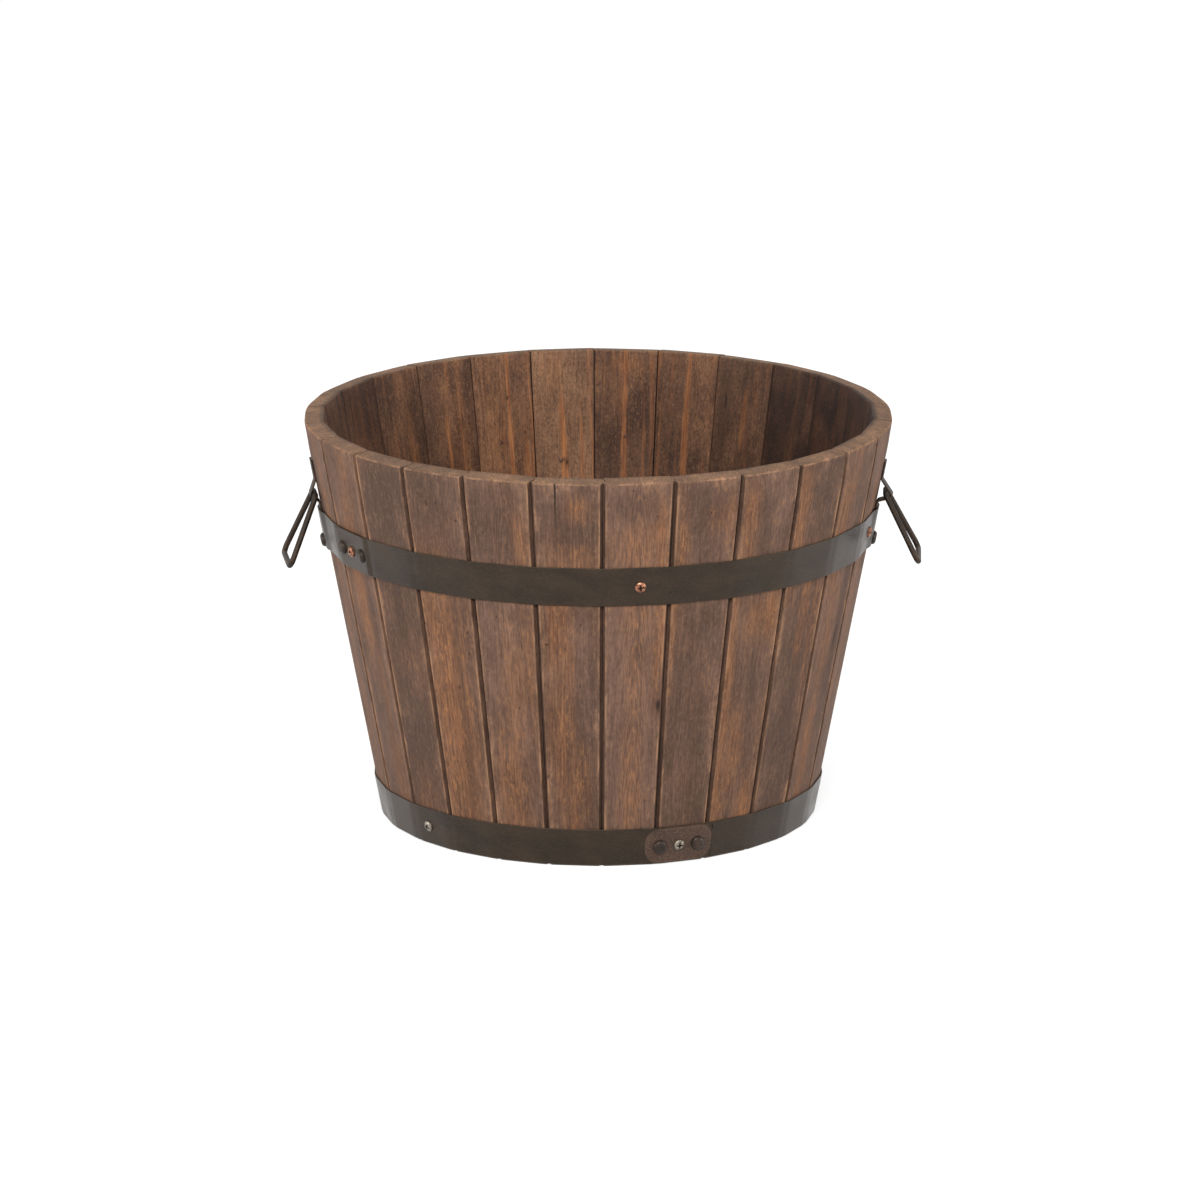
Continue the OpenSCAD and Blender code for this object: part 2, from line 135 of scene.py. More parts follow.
TINY = 0.00004
MM = 0.001

# Rows and columns of the meshes
RIM_STEPS = 3
BODY_ROWS = 34
FACE_COLUMNS = 18
TOP_ROWS = 4
BEAD_STEPS = 6
EDGE_COLUMNS = (0.0, 0.0015, 0.0040)
HOOP_SHARES = (0.2, 0.4, 0.6, 0.8)
RIDGE_STATIONS = (0.0012, 0.0040, 0.0080)
FACE_STATION = 0.0060
END_STATIONS = (LAP_CORNER, 0.0065, 0.0042, 0.0025, 0.0012, 0.0004, 0.00005)
STRAP_STATIONS = (0.006, 0.0066, 0.009, 0.012, 0.016, 0.0205)
RIVET_MESH = (9, 28)  # rings and points round each
SCREW_MESH = (13, 48)
ROD_SIDES = 14

PITCH = radians(360 / STAVES)
HANDLE_AZ = HANDLE_JOINT * PITCH
HALF = PITCH / 2
RIDGE_TILT = atan((RIM_R - FOOT_R) / TUB_H)
FACE_TILT = atan((RIM_R - FOOT_R) * cos(HALF) / TUB_H)
STRAP_SEAT = -(GROOVE_W / 2 + EDGE_EASE) * tan(HALF)
STRAP_END = (TUB_H - UPPER_HOOP["z"][0]) / cos(RIDGE_TILT) - 0.001
RIM_DROP = (WALL / cos(FACE_TILT) * tan(RIM_SLOPE)
            / (1 + tan(RIM_SLOPE) * tan(FACE_TILT)))
UP = Vector((0, 0, 1))

# ---- stain and marks of the staves, and painted shade inside them ----

BESIDE_STRAPS = (6, 7, 20, 21)
# The stain outside is darker (below 0) or lighter on the staves in front
OUTER_TONE = {1: 0.9, 2: -0.1, 3: 0.0, 4: -0.6, 5: 0.4, 22: 0.5, 23: -0.9, 24: -0.2, 25: 0.2,
              26: -0.3}
# Painted shade: the inside is darkened at the two sides of the tub, where it lies in shade; by
# stave, from the first stave to the last
PAINTED_SHADE_INSIDE = [0.3] * 4 + [0.6, 0.8, 0.98, 1.0, 1.0, 0.86, 0.60, 0.32, 0.15, 0.0, 0.04, 0.20,
                           0.42, 0.62, 0.70, 0.70, 0.6, 0.5] + [0.3] * 4
# The darkest tint of the painted shade inside, which the colour is multiplied with
SIDE_SHADE_TINT = (0.14, 0.12, 0.12, 1.0)  # what it multiplies the colour with, linear
# Two staves have a paler, greyer stain inside
PALE_INSIDE = {14: 1.0, 11: 0.25}
# Bare wood and soot, by stave, below 0 on its inside: the place across, in % of half the
# face's width, the height in %, half the width and length in mm, and the strength in %
BARE = {
    26: [(-45, 66, 11, 60, 85), (-10, 52, 6, 40, 65), (-35, 32, 12, 70, 75), (35, 22, 8, 40, 55),
        (10, 93, 5, 12, 60), (-10, 12, 10, 40, 60), (35, 93, 9, 12, 70), (0, 81, 20, 12, 50)],
    25: [(75, 84, 7, 24, 75), (5, 40, 13, 70, 40), (-15, 20, 14, 60, 70), (20, 12, 6, 12, 90),
        (75, 50, 6, 60, 45)],
    24: [(-25, 36, 21, 130, 100), (-40, 58, 15, 40, 70), (10, 20, 16, 90, 75)],
    22: [(-10, 66, 10, 70, 100), (35, 40, 5, 60, 75), (30, 16, 10, 40, 70), (10, 90, 8, 50, 50)],
    23: [(0, 12, 14, 30, 40)],
    1: [(5, 47, 7, 50, 35), (5, 20, 8, 60, 50), (85, 62, 5, 60, 95), (80, 84, 6, 40, 80),
        (0, 68, 16, 30, 35), (0, 83, 24, 20, 50), (75, 86, 7, 16, 90)],
    2: [(-80, 84, 6, 22, 80), (80, 90, 5, 22, 65), (-95, 60, 3, 60, 70), (-90, 88, 4, 30, 60),
        (30, 90, 10, 14, 50)],
    3: [(-90, 40, 5, 160, 90), (10, 62, 12, 20, 55), (70, 63, 8, 25, 100), (-35, 26, 10, 40, 80),
        (55, 12, 9, 25, 90), (-75, 10, 7, 40, 75), (-70, 86, 9, 40, 75)],
    4: [(15, 64, 6, 35, 75), (10, 54, 4, 22, 90), (75, 55, 5, 70, 60), (-80, 82, 9, 60, 85),
        (20, 74, 10, 18, 50)],
    5: [(-20, 20, 7, 60, 100), (-30, 55, 10, 60, 60), (-60, 78, 12, 60, 90), (-10, 92, 6, 30, 50)],
    6: [(-40, 50, 8, 120, 60), (10, 84, 7, 60, 60)],
    21: [(10, 84, 12, 60, 60), (0, 45, 10, 120, 50)],
    8: [(20, 45, 12, 110, 70)],
    10: [(-30, 60, 10, 80, 60)],
    12: [(30, 35, 14, 120, 80)],
    13: [(-50, 80, 8, 50, 70)],
    15: [(10, 50, 10, 140, 60)],
    17: [(-20, 30, 12, 90, 80)],
    19: [(50, 60, 7, 100, 60)],
    -14: [(30, 95, 8, 20, 50)],
    -13: [(-10, 97, 16, 8, 80)],
    -15: [(30, 72, 12, 110, 45)],
    -16: [(-45, 66, 12, 80, 35)],
    -17: [(-30, 70, 6, 110, 45)],
    -18: [(20, 66, 8, 100, 40)],
    -10: [(-20, 72, 4, 90, 45)],
    -9: [(40, 70, 5, 90, 35)],
}
SOOT = {
    26: [(10, 87, 20, 16, 55)],
    25: [(0, 88, 22, 45, 45)],
    24: [(0, 88, 22, 45, 40), (20, 30, 5, 120, 60), (30, 62, 6, 60, 40)],
    23: [(0, 60, 10, 45, 75), (10, 88, 20, 45, 40), (-30, 40, 14, 70, 30)],
    22: [(45, 55, 5, 40, 70), (25, 30, 5, 80, 50)],
    1: [(0, 94, 26, 14, 60)],
    2: [(10, 93, 20, 20, 50), (30, 30, 12, 100, 35)],
    3: [(20, 42, 10, 60, 30), (-10, 78, 12, 40, 40)],
    4: [(-20, 38, 12, 80, 45), (30, 86, 10, 30, 40)],
    5: [(60, 60, 6, 70, 60)],
    7: [(0, 60, 16, 90, 35)],
    9: [(20, 85, 20, 45, 45)],
    11: [(-30, 30, 14, 100, 40)],
    13: [(20, 55, 12, 80, 40)],
    16: [(0, 87, 22, 45, 50)],
    18: [(30, 40, 12, 110, 40)],
    20: [(-20, 70, 14, 60, 40)],
    -11: [(62, 88, 6, 45, 80), (70, 62, 8, 50, 55)],
    -12: [(45, 85, 10, 60, 45)],
    -13: [(-80, 75, 4, 120, 55), (55, 72, 10, 120, 40)],
    -14: [(-75, 97, 10, 16, 50)],
    -15: [(5, 92, 14, 30, 35)],
    -16: [(60, 85, 10, 70, 45)],
    -10: [(20, 85, 14, 60, 50)],
}
# Bare streaks with clear edges, likewise, with the place across and the height in mm
STREAKS = {
    -10: [(-6, 270, 1.6, 90, 40)],
    -11: [(-3, 296, 3, 34, 75), (-10, 225, 2.6, 50, 60)],
    -12: [(-1.5, 275, 3.4, 120, 95), (22, 230, 1.8, 100, 50)],
    -13: [(0.5, 200, 3.2, 220, 85), (-16.5, 200, 2, 150, 50), (-22.5, 200, 2.2, 220, 45)],
    -14: [(1.5, 285, 4, 30, 80), (0, 240, 3.2, 80, 100), (-15, 230, 1.8, 90, 65),
        (-24, 220, 1.4, 200, 60)],
    -15: [(-5, 180, 3, 260, 95), (4, 274, 2.2, 10, 80), (-19, 215, 5.8, 85, 60),
        (-25, 200, 1.6, 200, 70)],
    -16: [(3, 225, 2.2, 110, 85), (-12, 250, 1.6, 120, 45)],
    -17: [(-10, 260, 1.4, 70, 40)],
}
# Arched grain on the outside of some staves: the middle of the arches across, and how
# strongly they show; their steepness is per metre
ARCHES = {1: (0.001, 1.0), 4: (-0.006, 0.4), 8: (0.004, 0.8), 11: (-0.003, 0.6),
          15: (0.002, 0.9), 18: (-0.005, 0.7), 21: (0.003, 0.5), 25: (0.006, 0.5)}
ARCH_STEEPNESS = 700.0
ARCH_STEP = 0.019
# Knots and the crack: the stave, below 0 on its inside, the place across, the height, and
# half the width and length, in mm
KNOTS = [(1, 21.6, 144, 4.2, 8.5), (5, 13, 172, 2.4, 17), (12, -6, 160, 4, 11), (17, 8, 290, 3, 6),
         (-14, 3, 252, 4, 1.6), (-14, -2, 249, 1.6, 3), (-14, 18, 236, 1.6, 3),
         (-15, 4, 270, 1.6, 2.6), (-11, 16.5, 310, 2, 10)]
CRACK = (26, -9.5, 346, 1.2, 50)


# ---- geometry shared by all pieces ----


def ridge_r(z):
    return FOOT_R + (RIM_R - FOOT_R) * z / TUB_H


def flat_r(z):
    return ridge_r(z) * cos(HALF)


def inner_r(z):
    return flat_r(z) - WALL / cos(FACE_TILT)


def outward(az):
    return Vector((sin(az), -cos(az), 0))


def sideways(az):
    return Vector((cos(az), sin(az), 0))


def tilted(az, tilt):
    """Outward, sideways and up-slope directions of a surface that leans out by tilt."""
    out = outward(az) * cos(tilt) - UP * sin(tilt)
    up = outward(az) * sin(tilt) + UP * cos(tilt)
    return out, sideways(az), up


def facet(az):
    """The middle azimuth of the stave at this azimuth, and the angle from it."""
    mid = (floor(az / PITCH) + 0.5) * PITCH
    return mid, az - mid


def on_stave(az, z, rise):
    """A place above a stave's face, and the face's outward, sideways and up-slope."""
    mid, off = facet(az)
    out, across, up = tilted(mid, FACE_TILT)
    seat = outward(mid) * flat_r(z) + across * flat_r(z) * tan(off) + UP * z
    return seat + out * rise, (out, across, up)


def smooth(low, high, value):
    """0 up to low, 1 from high, and a soft step between them."""
    x = min(max((value - low) / (high - low), 0), 1)
    return x * x * (3 - 2 * x)


def uneven(x, y, z):
    """Smooth noise from 0 to 1."""
    return 0.5 + 0.5 * noise.noise(Vector((x, y, z)))


def circle(count):
    """Evenly spaced points on a circle of radius 1."""
    return [(cos(tau * k / count), sin(tau * k / count))
            for k in range(count)]


def middle(hoop):
    return sum(hoop["z"]) / 2


def put(name, data, place=(0, 0, 0), aim=None):
    """A new object of the scene; its -Z side looks at the aim."""
    thing = bpy.data.objects.new(name, data)
    bpy.context.scene.collection.objects.link(thing)
    thing.location = place
    if aim:
        thing.rotation_euler = (aim - thing.location).to_track_quat("-Z", "Y").to_euler()
    return thing


def fillet(path, radii, closed=False, steps=6):
    """A 2-D path with its corners rounded to the given radii."""
    points = []
    count = len(path)
    for i, (corner, radius) in enumerate(zip(path, radii)):
        corner = Vector(corner)
        if not closed and i in (0, count - 1):
            points.append(corner)
            continue
        before = (corner - Vector(path[i - 1])).normalized()
        after = (Vector(path[(i + 1) % count]) - corner).normalized()
        turn = before.angle(after)
        left = before.x * after.y - before.y * after.x > 0
        start = corner - before * (radius * tan(turn / 2))
        centre = start + Vector((-before.y, before.x)) * (radius if left else -radius)
        arm = start - centre
        for k in range(steps + 1):
            angle = (turn if left else -turn) * k / steps
            points.append(centre + Vector((arm.x * cos(angle) - arm.y * sin(angle),
                                           arm.x * sin(angle) + arm.y * cos(angle))))
    return points


class Skin:
    """A mesh in the making: points, each with a value of every attribute, and faces."""

    def __init__(self):
        self.points, self.faces, self.values = [], [], {}

    def add(self, point, **values):
        self.points.append(point)
        for key, value in values.items():
            self.values.setdefault(key, []).append(value)

    def wrap(self, rows, around, start=0, closed=False, turned=False, top=True):
        """Faces over rows of points that each run round, with caps unless the rows are
        closed on themselves. turned is for rows that run the other way round."""
        faces = []
        for r in range(rows if closed else rows - 1):
            low, high = start + r * around, start + (r + 1) % rows * around
            for c in range(around):
                d = (c + 1) % around
                faces.append((low + c, low + d, high + d, high + c))
        last = start + (rows - 1) * around
        if not closed:
            faces.append(tuple(range(start, start + around))[::-1])
        if top and not closed:
            faces.append(tuple(range(last, last + around)))
        self.faces += [face[::-1] for face in faces] if turned else faces

    def finish(self, name, material, body, slot, *replaced):
        """The visible piece, which rides on its body and takes the place of the solids."""
        mesh = bpy.data.meshes.new(name)
        mesh.from_pydata([tuple(point) for point in self.points], [], self.faces)
        mesh.validate()
        for key, values in self.values.items():
            if isinstance(values[0], tuple):
                flat = [x for value in values for x in value]
                mesh.attributes.new(key, "FLOAT_VECTOR", "POINT").data.foreach_set("vector", flat)
            else:
                mesh.attributes.new(key, "FLOAT", "POINT").data.foreach_set("value", values)
        mesh.materials.append(material)
        piece = put(name, mesh)
        mesh.shade_smooth()
        mesh.set_sharp_from_angle(angle=radians(35))
        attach(piece, body)
        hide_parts(*replaced)


# ---- staves ----


def half_width(z, face):
    """Half the width of a stave's outer (1) or inner (-1) face at height z."""
    if face == 1:
        return ridge_r(z) * sin(HALF) - GROOVE_W / 2 / cos(HALF) - EDGE_EASE
    return inner_r(z) * tan(HALF) - INNER_GAP


def mark_value(marks, number, face, x, z):
    """How strongly the marks of one face show at a point of a stave."""
    value = 0.0
    for mid, level, w, length, strength in marks.get(number * face, ()):
        bend = 0.15 * sin(9 * z / TUB_H + 5 * number)
        u = (x - mid / 100 * half_width(z, face)) / (w * MM) + bend
        v = (z - level / 100 * TUB_H) / (length * MM)
        value = max(value, strength / 100 * exp(-(u * u) ** 1.3 - (v * v) ** 1.6))
    return value


def end_rows():
    """Each row's height and how far its edges are eased, from the foot to the rim."""
    low, high = EDGE_EASE, TUB_H - RIM_EASE
    rows = [(low + (high - low) * k / BODY_ROWS, 0) for k in range(BODY_ROWS + 1)]
    for k in range(1, RIM_STEPS + 1):
        angle = radians(90 * k / RIM_STEPS)
        rise, back = 1 - sin(angle), 1 - cos(angle)
        rows.insert(0, (EDGE_EASE * rise, EDGE_EASE * back))
        rows.append((TUB_H - RIM_EASE * rise, RIM_EASE * back))
    return rows


def face_columns(half):
    """Places across a face from -half to half, closer together at the edges."""
    inner = half - EDGE_COLUMNS[-1]
    count = FACE_COLUMNS - 2 * (len(EDGE_COLUMNS) - 1)
    inside = [inner * (2 * k / (count - 1) - 1) for k in range(count)]
    left = [-half + e for e in EDGE_COLUMNS[:-1]]
    return left + inside + [-x for x in reversed(left)]


def crown(z):
    """How far the worn corners of a stave lie behind the middle of its face."""
    return CROWN + RIM_CROWN * smooth(RIM_CROWN_FROM, 1.0, z / TUB_H)


def joint_side(z, side, ease):
    """The stave's side from its outer arris to its inner corner, as (sideways, outward,
    worn, groove, 0) at height z; side is 1 towards the next joint, -1 towards the last."""
    along = Vector((side * sin(HALF), cos(HALF)))
    into = Vector((-side * cos(HALF), sin(HALF)))
    open_half = GROOVE_W / 2
    arris = (flat_r(z) - crown(z) - ease - open_half * sin(HALF)) / cos(HALF)
    bottom = ridge_r(z) - GROOVE_DEPTH
    bend = arris + (bottom - arris) * WALL_BEND
    bead = ridge_r(z) - (GROOVE_DEPTH + WALL) / 2
    spots = []  # (radius, distance from the joint's middle, worn, groove)
    for k in (1, 2, 3):
        angle = radians(30 * k)
        drop, back = EDGE_EASE * (1 - cos(angle)), EDGE_EASE * (1 - sin(angle))
        spots.append((arris - drop, open_half + back, 1.0 - 0.25 * k, 0.1 * k))
    spots += [(bend, open_half * WALL_BEND_OPEN, 0.0, 0.12),
              (bottom, open_half * FLOOR_OPEN, 0.0, 0.5), (bottom, SEAM, 0.0, 1.0)]
    for k in range(BEAD_STEPS + 1):
        angle = pi * k / BEAD_STEPS
        spots.append((bead + BEAD_W / 2 * cos(angle),
                      SEAM - BEAD_OUT * sin(angle) * side, 0.0, 1.0))
    spots.append(((inner_r(z) + ease) / cos(HALF), SEAM + 0.0003, 0.0, 0.7))
    return [(*(along * r + into * away), worn, groove, 0) for r, away, worn, groove in spots]


def stave_row(number, z, ease, set_back, thinner):
    """A row of points round a stave: (sideways, outward, worn, groove, face), where face
    is 1 outside, -1 inside and 0 at the sides."""
    row = []
    half = half_width(z, 1)
    for x in face_columns(half):
        dent = set_back + OUTER_DENT * uneven(x * 30, z * 12, number * 7.3)
        fall = crown(z) * (x / half) ** 4
        worn = 1 - smooth(0, WORN_W, half - abs(x))
        row.append((x, flat_r(z) - ease - dent - fall, worn, 0.0, 1))
    row += joint_side(z, 1, ease)
    half = half_width(z, -1)
    for x in reversed(face_columns(half)):
        wave = noise.noise(Vector((x * 45, z * 16, number * 3.1 + 50)))
        n = inner_r(z) + ease - thinner * 0.5 + INNER_DENT * wave
        row.append((x, n, 0.0, 0.25 * (1 - smooth(0, WORN_W, half - abs(x))), -1))
    return row + joint_side(z, -1, ease)[::-1]


def build_stave(number, material, rng):
    """One stave with its bead and cove, grooves, eased rim, dents and stain marks."""
    mid = (number - 0.5) * PITCH
    out, across = outward(mid), sideways(mid)
    thinner = rng.uniform(-0.0006, 0.0006)
    set_back = rng.uniform(0, 0.0003) * (number not in BESIDE_STRAPS)
    shorter = 0.0001 if number == 1 else rng.uniform(0.0001, 0.0006)
    shift = Vector([rng.uniform(0, 9) for _ in range(3)])
    tone = OUTER_TONE.get(number, rng.uniform(-0.8, 0.8))
    arch_x, arch_share = ARCHES.get(number, (0.0, 0.0))
    skin = Skin()
    rows = end_rows()
    for z, ease in rows:
        lower = shorter * smooth(0.5, 1, z / TUB_H)
        eased_rim = z > TUB_H / 2 and RIM_EASE * 0.1 < ease < RIM_EASE * 0.9
        row = stave_row(number, z, ease, set_back, thinner)
        for x, n, worn, groove, face in row:
            outside, inside = face == 1, face == -1
            depth = min(max((flat_r(z) - n) / (flat_r(z) - inner_r(z)), 0), 1)
            fall = RIM_DROP * (1 - depth) * smooth(SLOPE_FROM, 1.0, z / TUB_H)
            n -= fall * tan(FACE_TILT)
            to_edge = min(half_width(z, 1) - abs(x), (TUB_H - z) * 0.6)
            skin.add(out * n + across * x + UP * (z - lower - fall),
                     grain=(x + shift.x, z + shift.y, n - flat_r(z) + shift.z),
                     place=(x, z, number * face),
                     worn=max(worn, eased_rim * (0.6 if outside else 0.2)),
                     rubbed=(1 - smooth(0, RUBBED_W, to_edge)) * outside,
                     groove=groove,
                     inside=float(inside),
                     rim=smooth(TUB_H - RIM_EASE, TUB_H, z),
                     bare=mark_value(BARE, number, face, x, z),
                     soot=mark_value(SOOT, number, face, x, z),
                     tone=tone,
                     # how strongly the painted shade darkens this stave's inside
                     shade=PAINTED_SHADE_INSIDE[number - 1] * inside,
                     pale=PALE_INSIDE.get(number, 0.0) * inside,
                     arch=(x - arch_x, z, arch_share * outside))
    skin.wrap(len(rows), len(row), turned=True, top=False)
    close_rim(skin, len(row))
    skin.finish(f"wood_stave_{number:02d}", material, "tub", "stained_wood",
                f"stave_{number:02d}")


def close_rim(skin, columns):
    """The stave's flat top: a grid between its outer and inner edges, and its two sides.
    The top has its own copy of the last row, without that row's wear and marks."""
    last = len(skin.points)
    for k in range(last - columns, last):
        skin.points.append(skin.points[k])
        for key, values in skin.values.items():
            values.append(0.0 if key in ("worn", "groove", "soot", "bare") else values[k])
    per_side = columns // 2 - FACE_COLUMNS
    outer = range(last, last + FACE_COLUMNS)
    right = range(outer.stop, outer.stop + per_side)
    inner = range(right.stop, right.stop + FACE_COLUMNS)[::-1]
    left = range(last + columns - per_side, last + columns)[::-1]
    lines = [outer]
    for r in range(1, TOP_ROWS):
        share = r / TOP_ROWS
        start = len(skin.points)
        for a, b in zip(outer, inner):
            skin.points.append(skin.points[a].lerp(skin.points[b], share))
            for key, values in skin.values.items():
                if key in ("grain", "place", "arch"):
                    values.append(tuple(Vector(values[a]).lerp(Vector(values[b]), share)))
                else:
                    values.append(values[a] if key in ("rim", "tone") else 0.0)
        lines.append(range(start, len(skin.points)))
    lines.append(inner)
    for low, high in zip(lines, lines[1:]):
        for k in range(FACE_COLUMNS - 1):
            skin.faces.append((low[k], low[k + 1], high[k + 1], high[k]))
    skin.faces.append((outer[-1], *right, *[line[-1] for line in lines[:0:-1]]))
    skin.faces.append((outer[0], *left, *[line[0] for line in lines[:0:-1]])[::-1])


# ---- hoops ----


def past_lap_screw(hoop, az):
    """The distance along the hoop from its lap screw, towards the visible end."""
    turn = (az - radians(hoop["lap"]) + pi) % tau - pi
    return hoop["way"] * turn * ridge_r(middle(hoop))


def lap_layers(along):
    """How many layers of band lie on the stave here: 2 in the lap, a ramp behind it."""
    if along > LAP_AHEAD:
        return 1.0
    return 1 + smooth(-LAP_BEHIND - LAP_RAMP, -LAP_BEHIND, along)


def lap_corner(along):
    """How far the rounded corners of the visible end cut in from the hoop's edges."""
    past = along - (LAP_AHEAD - LAP_CORNER)
    if past <= 0 or along > LAP_AHEAD:
        return 0.0
    return LAP_CORNER - sqrt(max(LAP_CORNER ** 2 - past ** 2, 0))


def hoop_seat(hoop, az, z):
    """The hoop's inner radius: on the faces of the staves, lifted over each strap."""
    _, off = facet(az)
    from_ridge = (HALF - abs(off)) * ridge_r(z)
    seat = flat_r(z) / cos(off) - RIDGE_CUT * exp(-(from_ridge / RIDGE_REACH) ** 2)
    if not hoop["over_straps"]:
        return seat
    for side in (-1, 1):
        turn = abs((az - side * HANDLE_AZ + pi) % tau - pi)
        edge = STRAP_W / 2 + STRAP_SIDE_GAP
        lift = (STRAP_SEAT + STRAP_T) / cos(RIDGE_TILT)
        over = (ridge_r(z) + lift) / cos(min(turn, edge / ridge_r(z)))
        share = 1 - smooth(edge, edge + STRAP_RISE, turn * ridge_r(z))
        seat = seat * (1 - share) + max(seat, over) * share
    return seat


def hoop_stations(hoop):
    """The azimuths of the hoop's cross sections."""
    r, face_r = ridge_r(middle(hoop)), flat_r(middle(hoop))
    half = r * sin(HALF)
    across = [half - x for x in RIDGE_STATIONS] + [FACE_STATION]
    stations = [(i + 0.5) * PITCH + atan(side * x / face_r)
                for i in range(STAVES) for x in across for side in (-1, 1)]
    lap_places = [-LAP_BEHIND - LAP_RAMP, -LAP_BEHIND - LAP_RAMP / 2, -LAP_BEHIND,
                  LAP_AHEAD + END_STATIONS[-1]] + [LAP_AHEAD - x for x in END_STATIONS]
    lap = radians(hoop["lap"])
    stations += [(lap + hoop["way"] * x / r) % tau for x in lap_places]
    if hoop["over_straps"]:
        stations += [(side * HANDLE_AZ + way * x / r) % tau
                     for side in (-1, 1) for x in STRAP_STATIONS for way in (-1, 1)]
    return sorted(stations)


def hoop_heights(low, high, corner):
    """The heights of one cross section's points, from its lower to its upper back edge."""
    cut = max(corner, 2 * HOOP_EASE)
    heights = [low + HOOP_TUCK, low, low + HOOP_EASE, low + cut - TINY, low + cut + TINY]
    heights += [low + cut + (high - low - 2 * cut) * share for share in HOOP_SHARES]
    return heights + [high - cut - TINY, high - cut + TINY, high - HOOP_EASE, high,
                      high - HOOP_TUCK]


def build_hoop(hoop, material):
    """A flat band with its ends lapped, rounded edges and small dents."""
    z0, z1 = hoop["z"]
    skin = Skin()
    stations = hoop_stations(hoop)
    for az in stations:
        along = past_lap_screw(hoop, az)
        corner = lap_corner(along)
        heights = hoop_heights(z0 + HOOP_WAVE * uneven(az * 9, z0 * 50, 1.5),
                               z1 - HOOP_WAVE * uneven(az * 9, z1 * 50, 8.5), corner)
        for k, z in enumerate(heights):
            from_edge = min(k, len(heights) - 1 - k)
            layers = 1.0 if corner > 0 and from_edge < 4 else lap_layers(along)
            seat = hoop_seat(hoop, az, z)
            dent = HOOP_DENT * uneven(az * 22, z * 60, 3.0)
            top = seat + HOOP_T * layers / cos(FACE_TILT) - dent
            r = (seat - HOOP_BEHIND, top - HOOP_EASE, top)[min(from_edge, 2)]
            at_end = 0 <= LAP_AHEAD - along < LAP_WORN or corner > 0 and from_edge == 4
            skin.add(outward(az) * r + UP * z,
                     grain=(az * r, z, 0.0),
                     worn=float(from_edge in (1, 2) or at_end),
                     stain=hoop["stain"],
                     lap=(along, z - middle(hoop) if abs(along) < 0.1 else 1.0, 0.0))
    skin.wrap(len(stations), len(heights), closed=True)
    skin.finish(f"{hoop['name']}_band", material, "tub", "hoop_steel", hoop["name"])


# ---- rivets and screws ----


def add_rivet(skin, seat, axes, seed):
    """One hammered dome on its seat."""
    out, across, up = axes
    rings, around = RIVET_MESH
    start = len(skin.points)
    for i in range(rings + 1):
        r, h = RIVET_R, -HEAD_BACK
        if i:
            angle = radians(90 * (i - 1) / (rings - 1))
            r *= cos(angle) ** 0.8
            h = RIVET_SKIRT + (RIVET_H - RIVET_SKIRT) * sin(angle)
        for unit_x, unit_y in circle(around):
            x, y = r * unit_x, r * unit_y
            dent = RIVET_DENT * abs(noise.noise(Vector((x * 330, y * 330, seed))))
            wide = 1 - 0.03 * abs(noise.noise(Vector((unit_x, unit_y, seed))))
            rise = min(h, RIVET_H - RIVET_FLAT) - dent
            skin.add(seat + out * rise + across * x * wide + up * y * wide,
                     grain=(x, y, seed * 0.01 + h), worn=smooth(0.5, 1.0, h / RIVET_H))
    skin.wrap(rings + 1, around, start, turned=True)


def add_screw(skin, seat, axes, turned):
    """A pan head with a cross recess; turned is the cross's angle."""
    out, across, up = axes
    rings, around = SCREW_MESH
    start = len(skin.points)
    for i in range(rings + 1):
        r = SCREW_R * (1 - max(i - 1, 0) / (rings - 0.6))
        rise = SCREW_H * (1 - 0.55 * (r / SCREW_R) ** 2.6) if i else -HEAD_BACK
        for unit_x, unit_y in circle(around):
            x, y = r * unit_x, r * unit_y
            u = abs(x * cos(turned) + y * sin(turned))
            v = abs(-x * sin(turned) + y * cos(turned))
            recess = max(u, v) < CROSS_HALF[0] and min(u, v) < CROSS_HALF[1]
            # The recess attribute also marks where the painted shade of the cross recess goes
            skin.add(seat + out * (rise - CROSS_DEPTH * recess) + across * x + up * y,
                     grain=(seat.x + x, seat.y + y, seat.z), recess=float(recess))
    skin.wrap(rings + 1, around, start, turned=True)


def build_lap_rivets(hoop, material):
    skin = Skin()
    z = middle(hoop)
    for side in (-1, 1):
        az = radians(hoop["lap"]) + side * LAP_RIVET_AWAY / ridge_r(z)
        seat, axes = on_stave(az, z, 2 * HOOP_T - RIVET_SINK)
        add_rivet(skin, seat, axes, 3.7 * side + 9 * z)
    skin.finish(f"{hoop['name']}_rivet_domes", material, "tub", "rivets",
                f"{hoop['name']}_rivets")


def build_hoop_screws(hoop, material, slot, rng):
    """The hoop's screws, of which the first holds the lap. Each keeps to the middle part
    of its stave, clear of the joints."""
    skin = Skin()
    for k in range(HOOP_SCREWS):
        mid, off = facet(radians(hoop["lap"] + k * hoop["screw_step"]))
        az = mid + max(-0.3 * PITCH, min(0.3 * PITCH, off))
        layers = 2 if k == 0 else 1
        seat, axes = on_stave(az, middle(hoop), layers * HOOP_T - SCREW_SINK)
        add_screw(skin, seat, axes, rng.uniform(0, pi / 2))
    skin.finish(f"{hoop['name']}_screw_heads", material, "tub", slot,
                f"{hoop['name']}_screws")


# ---- straps and rings ----


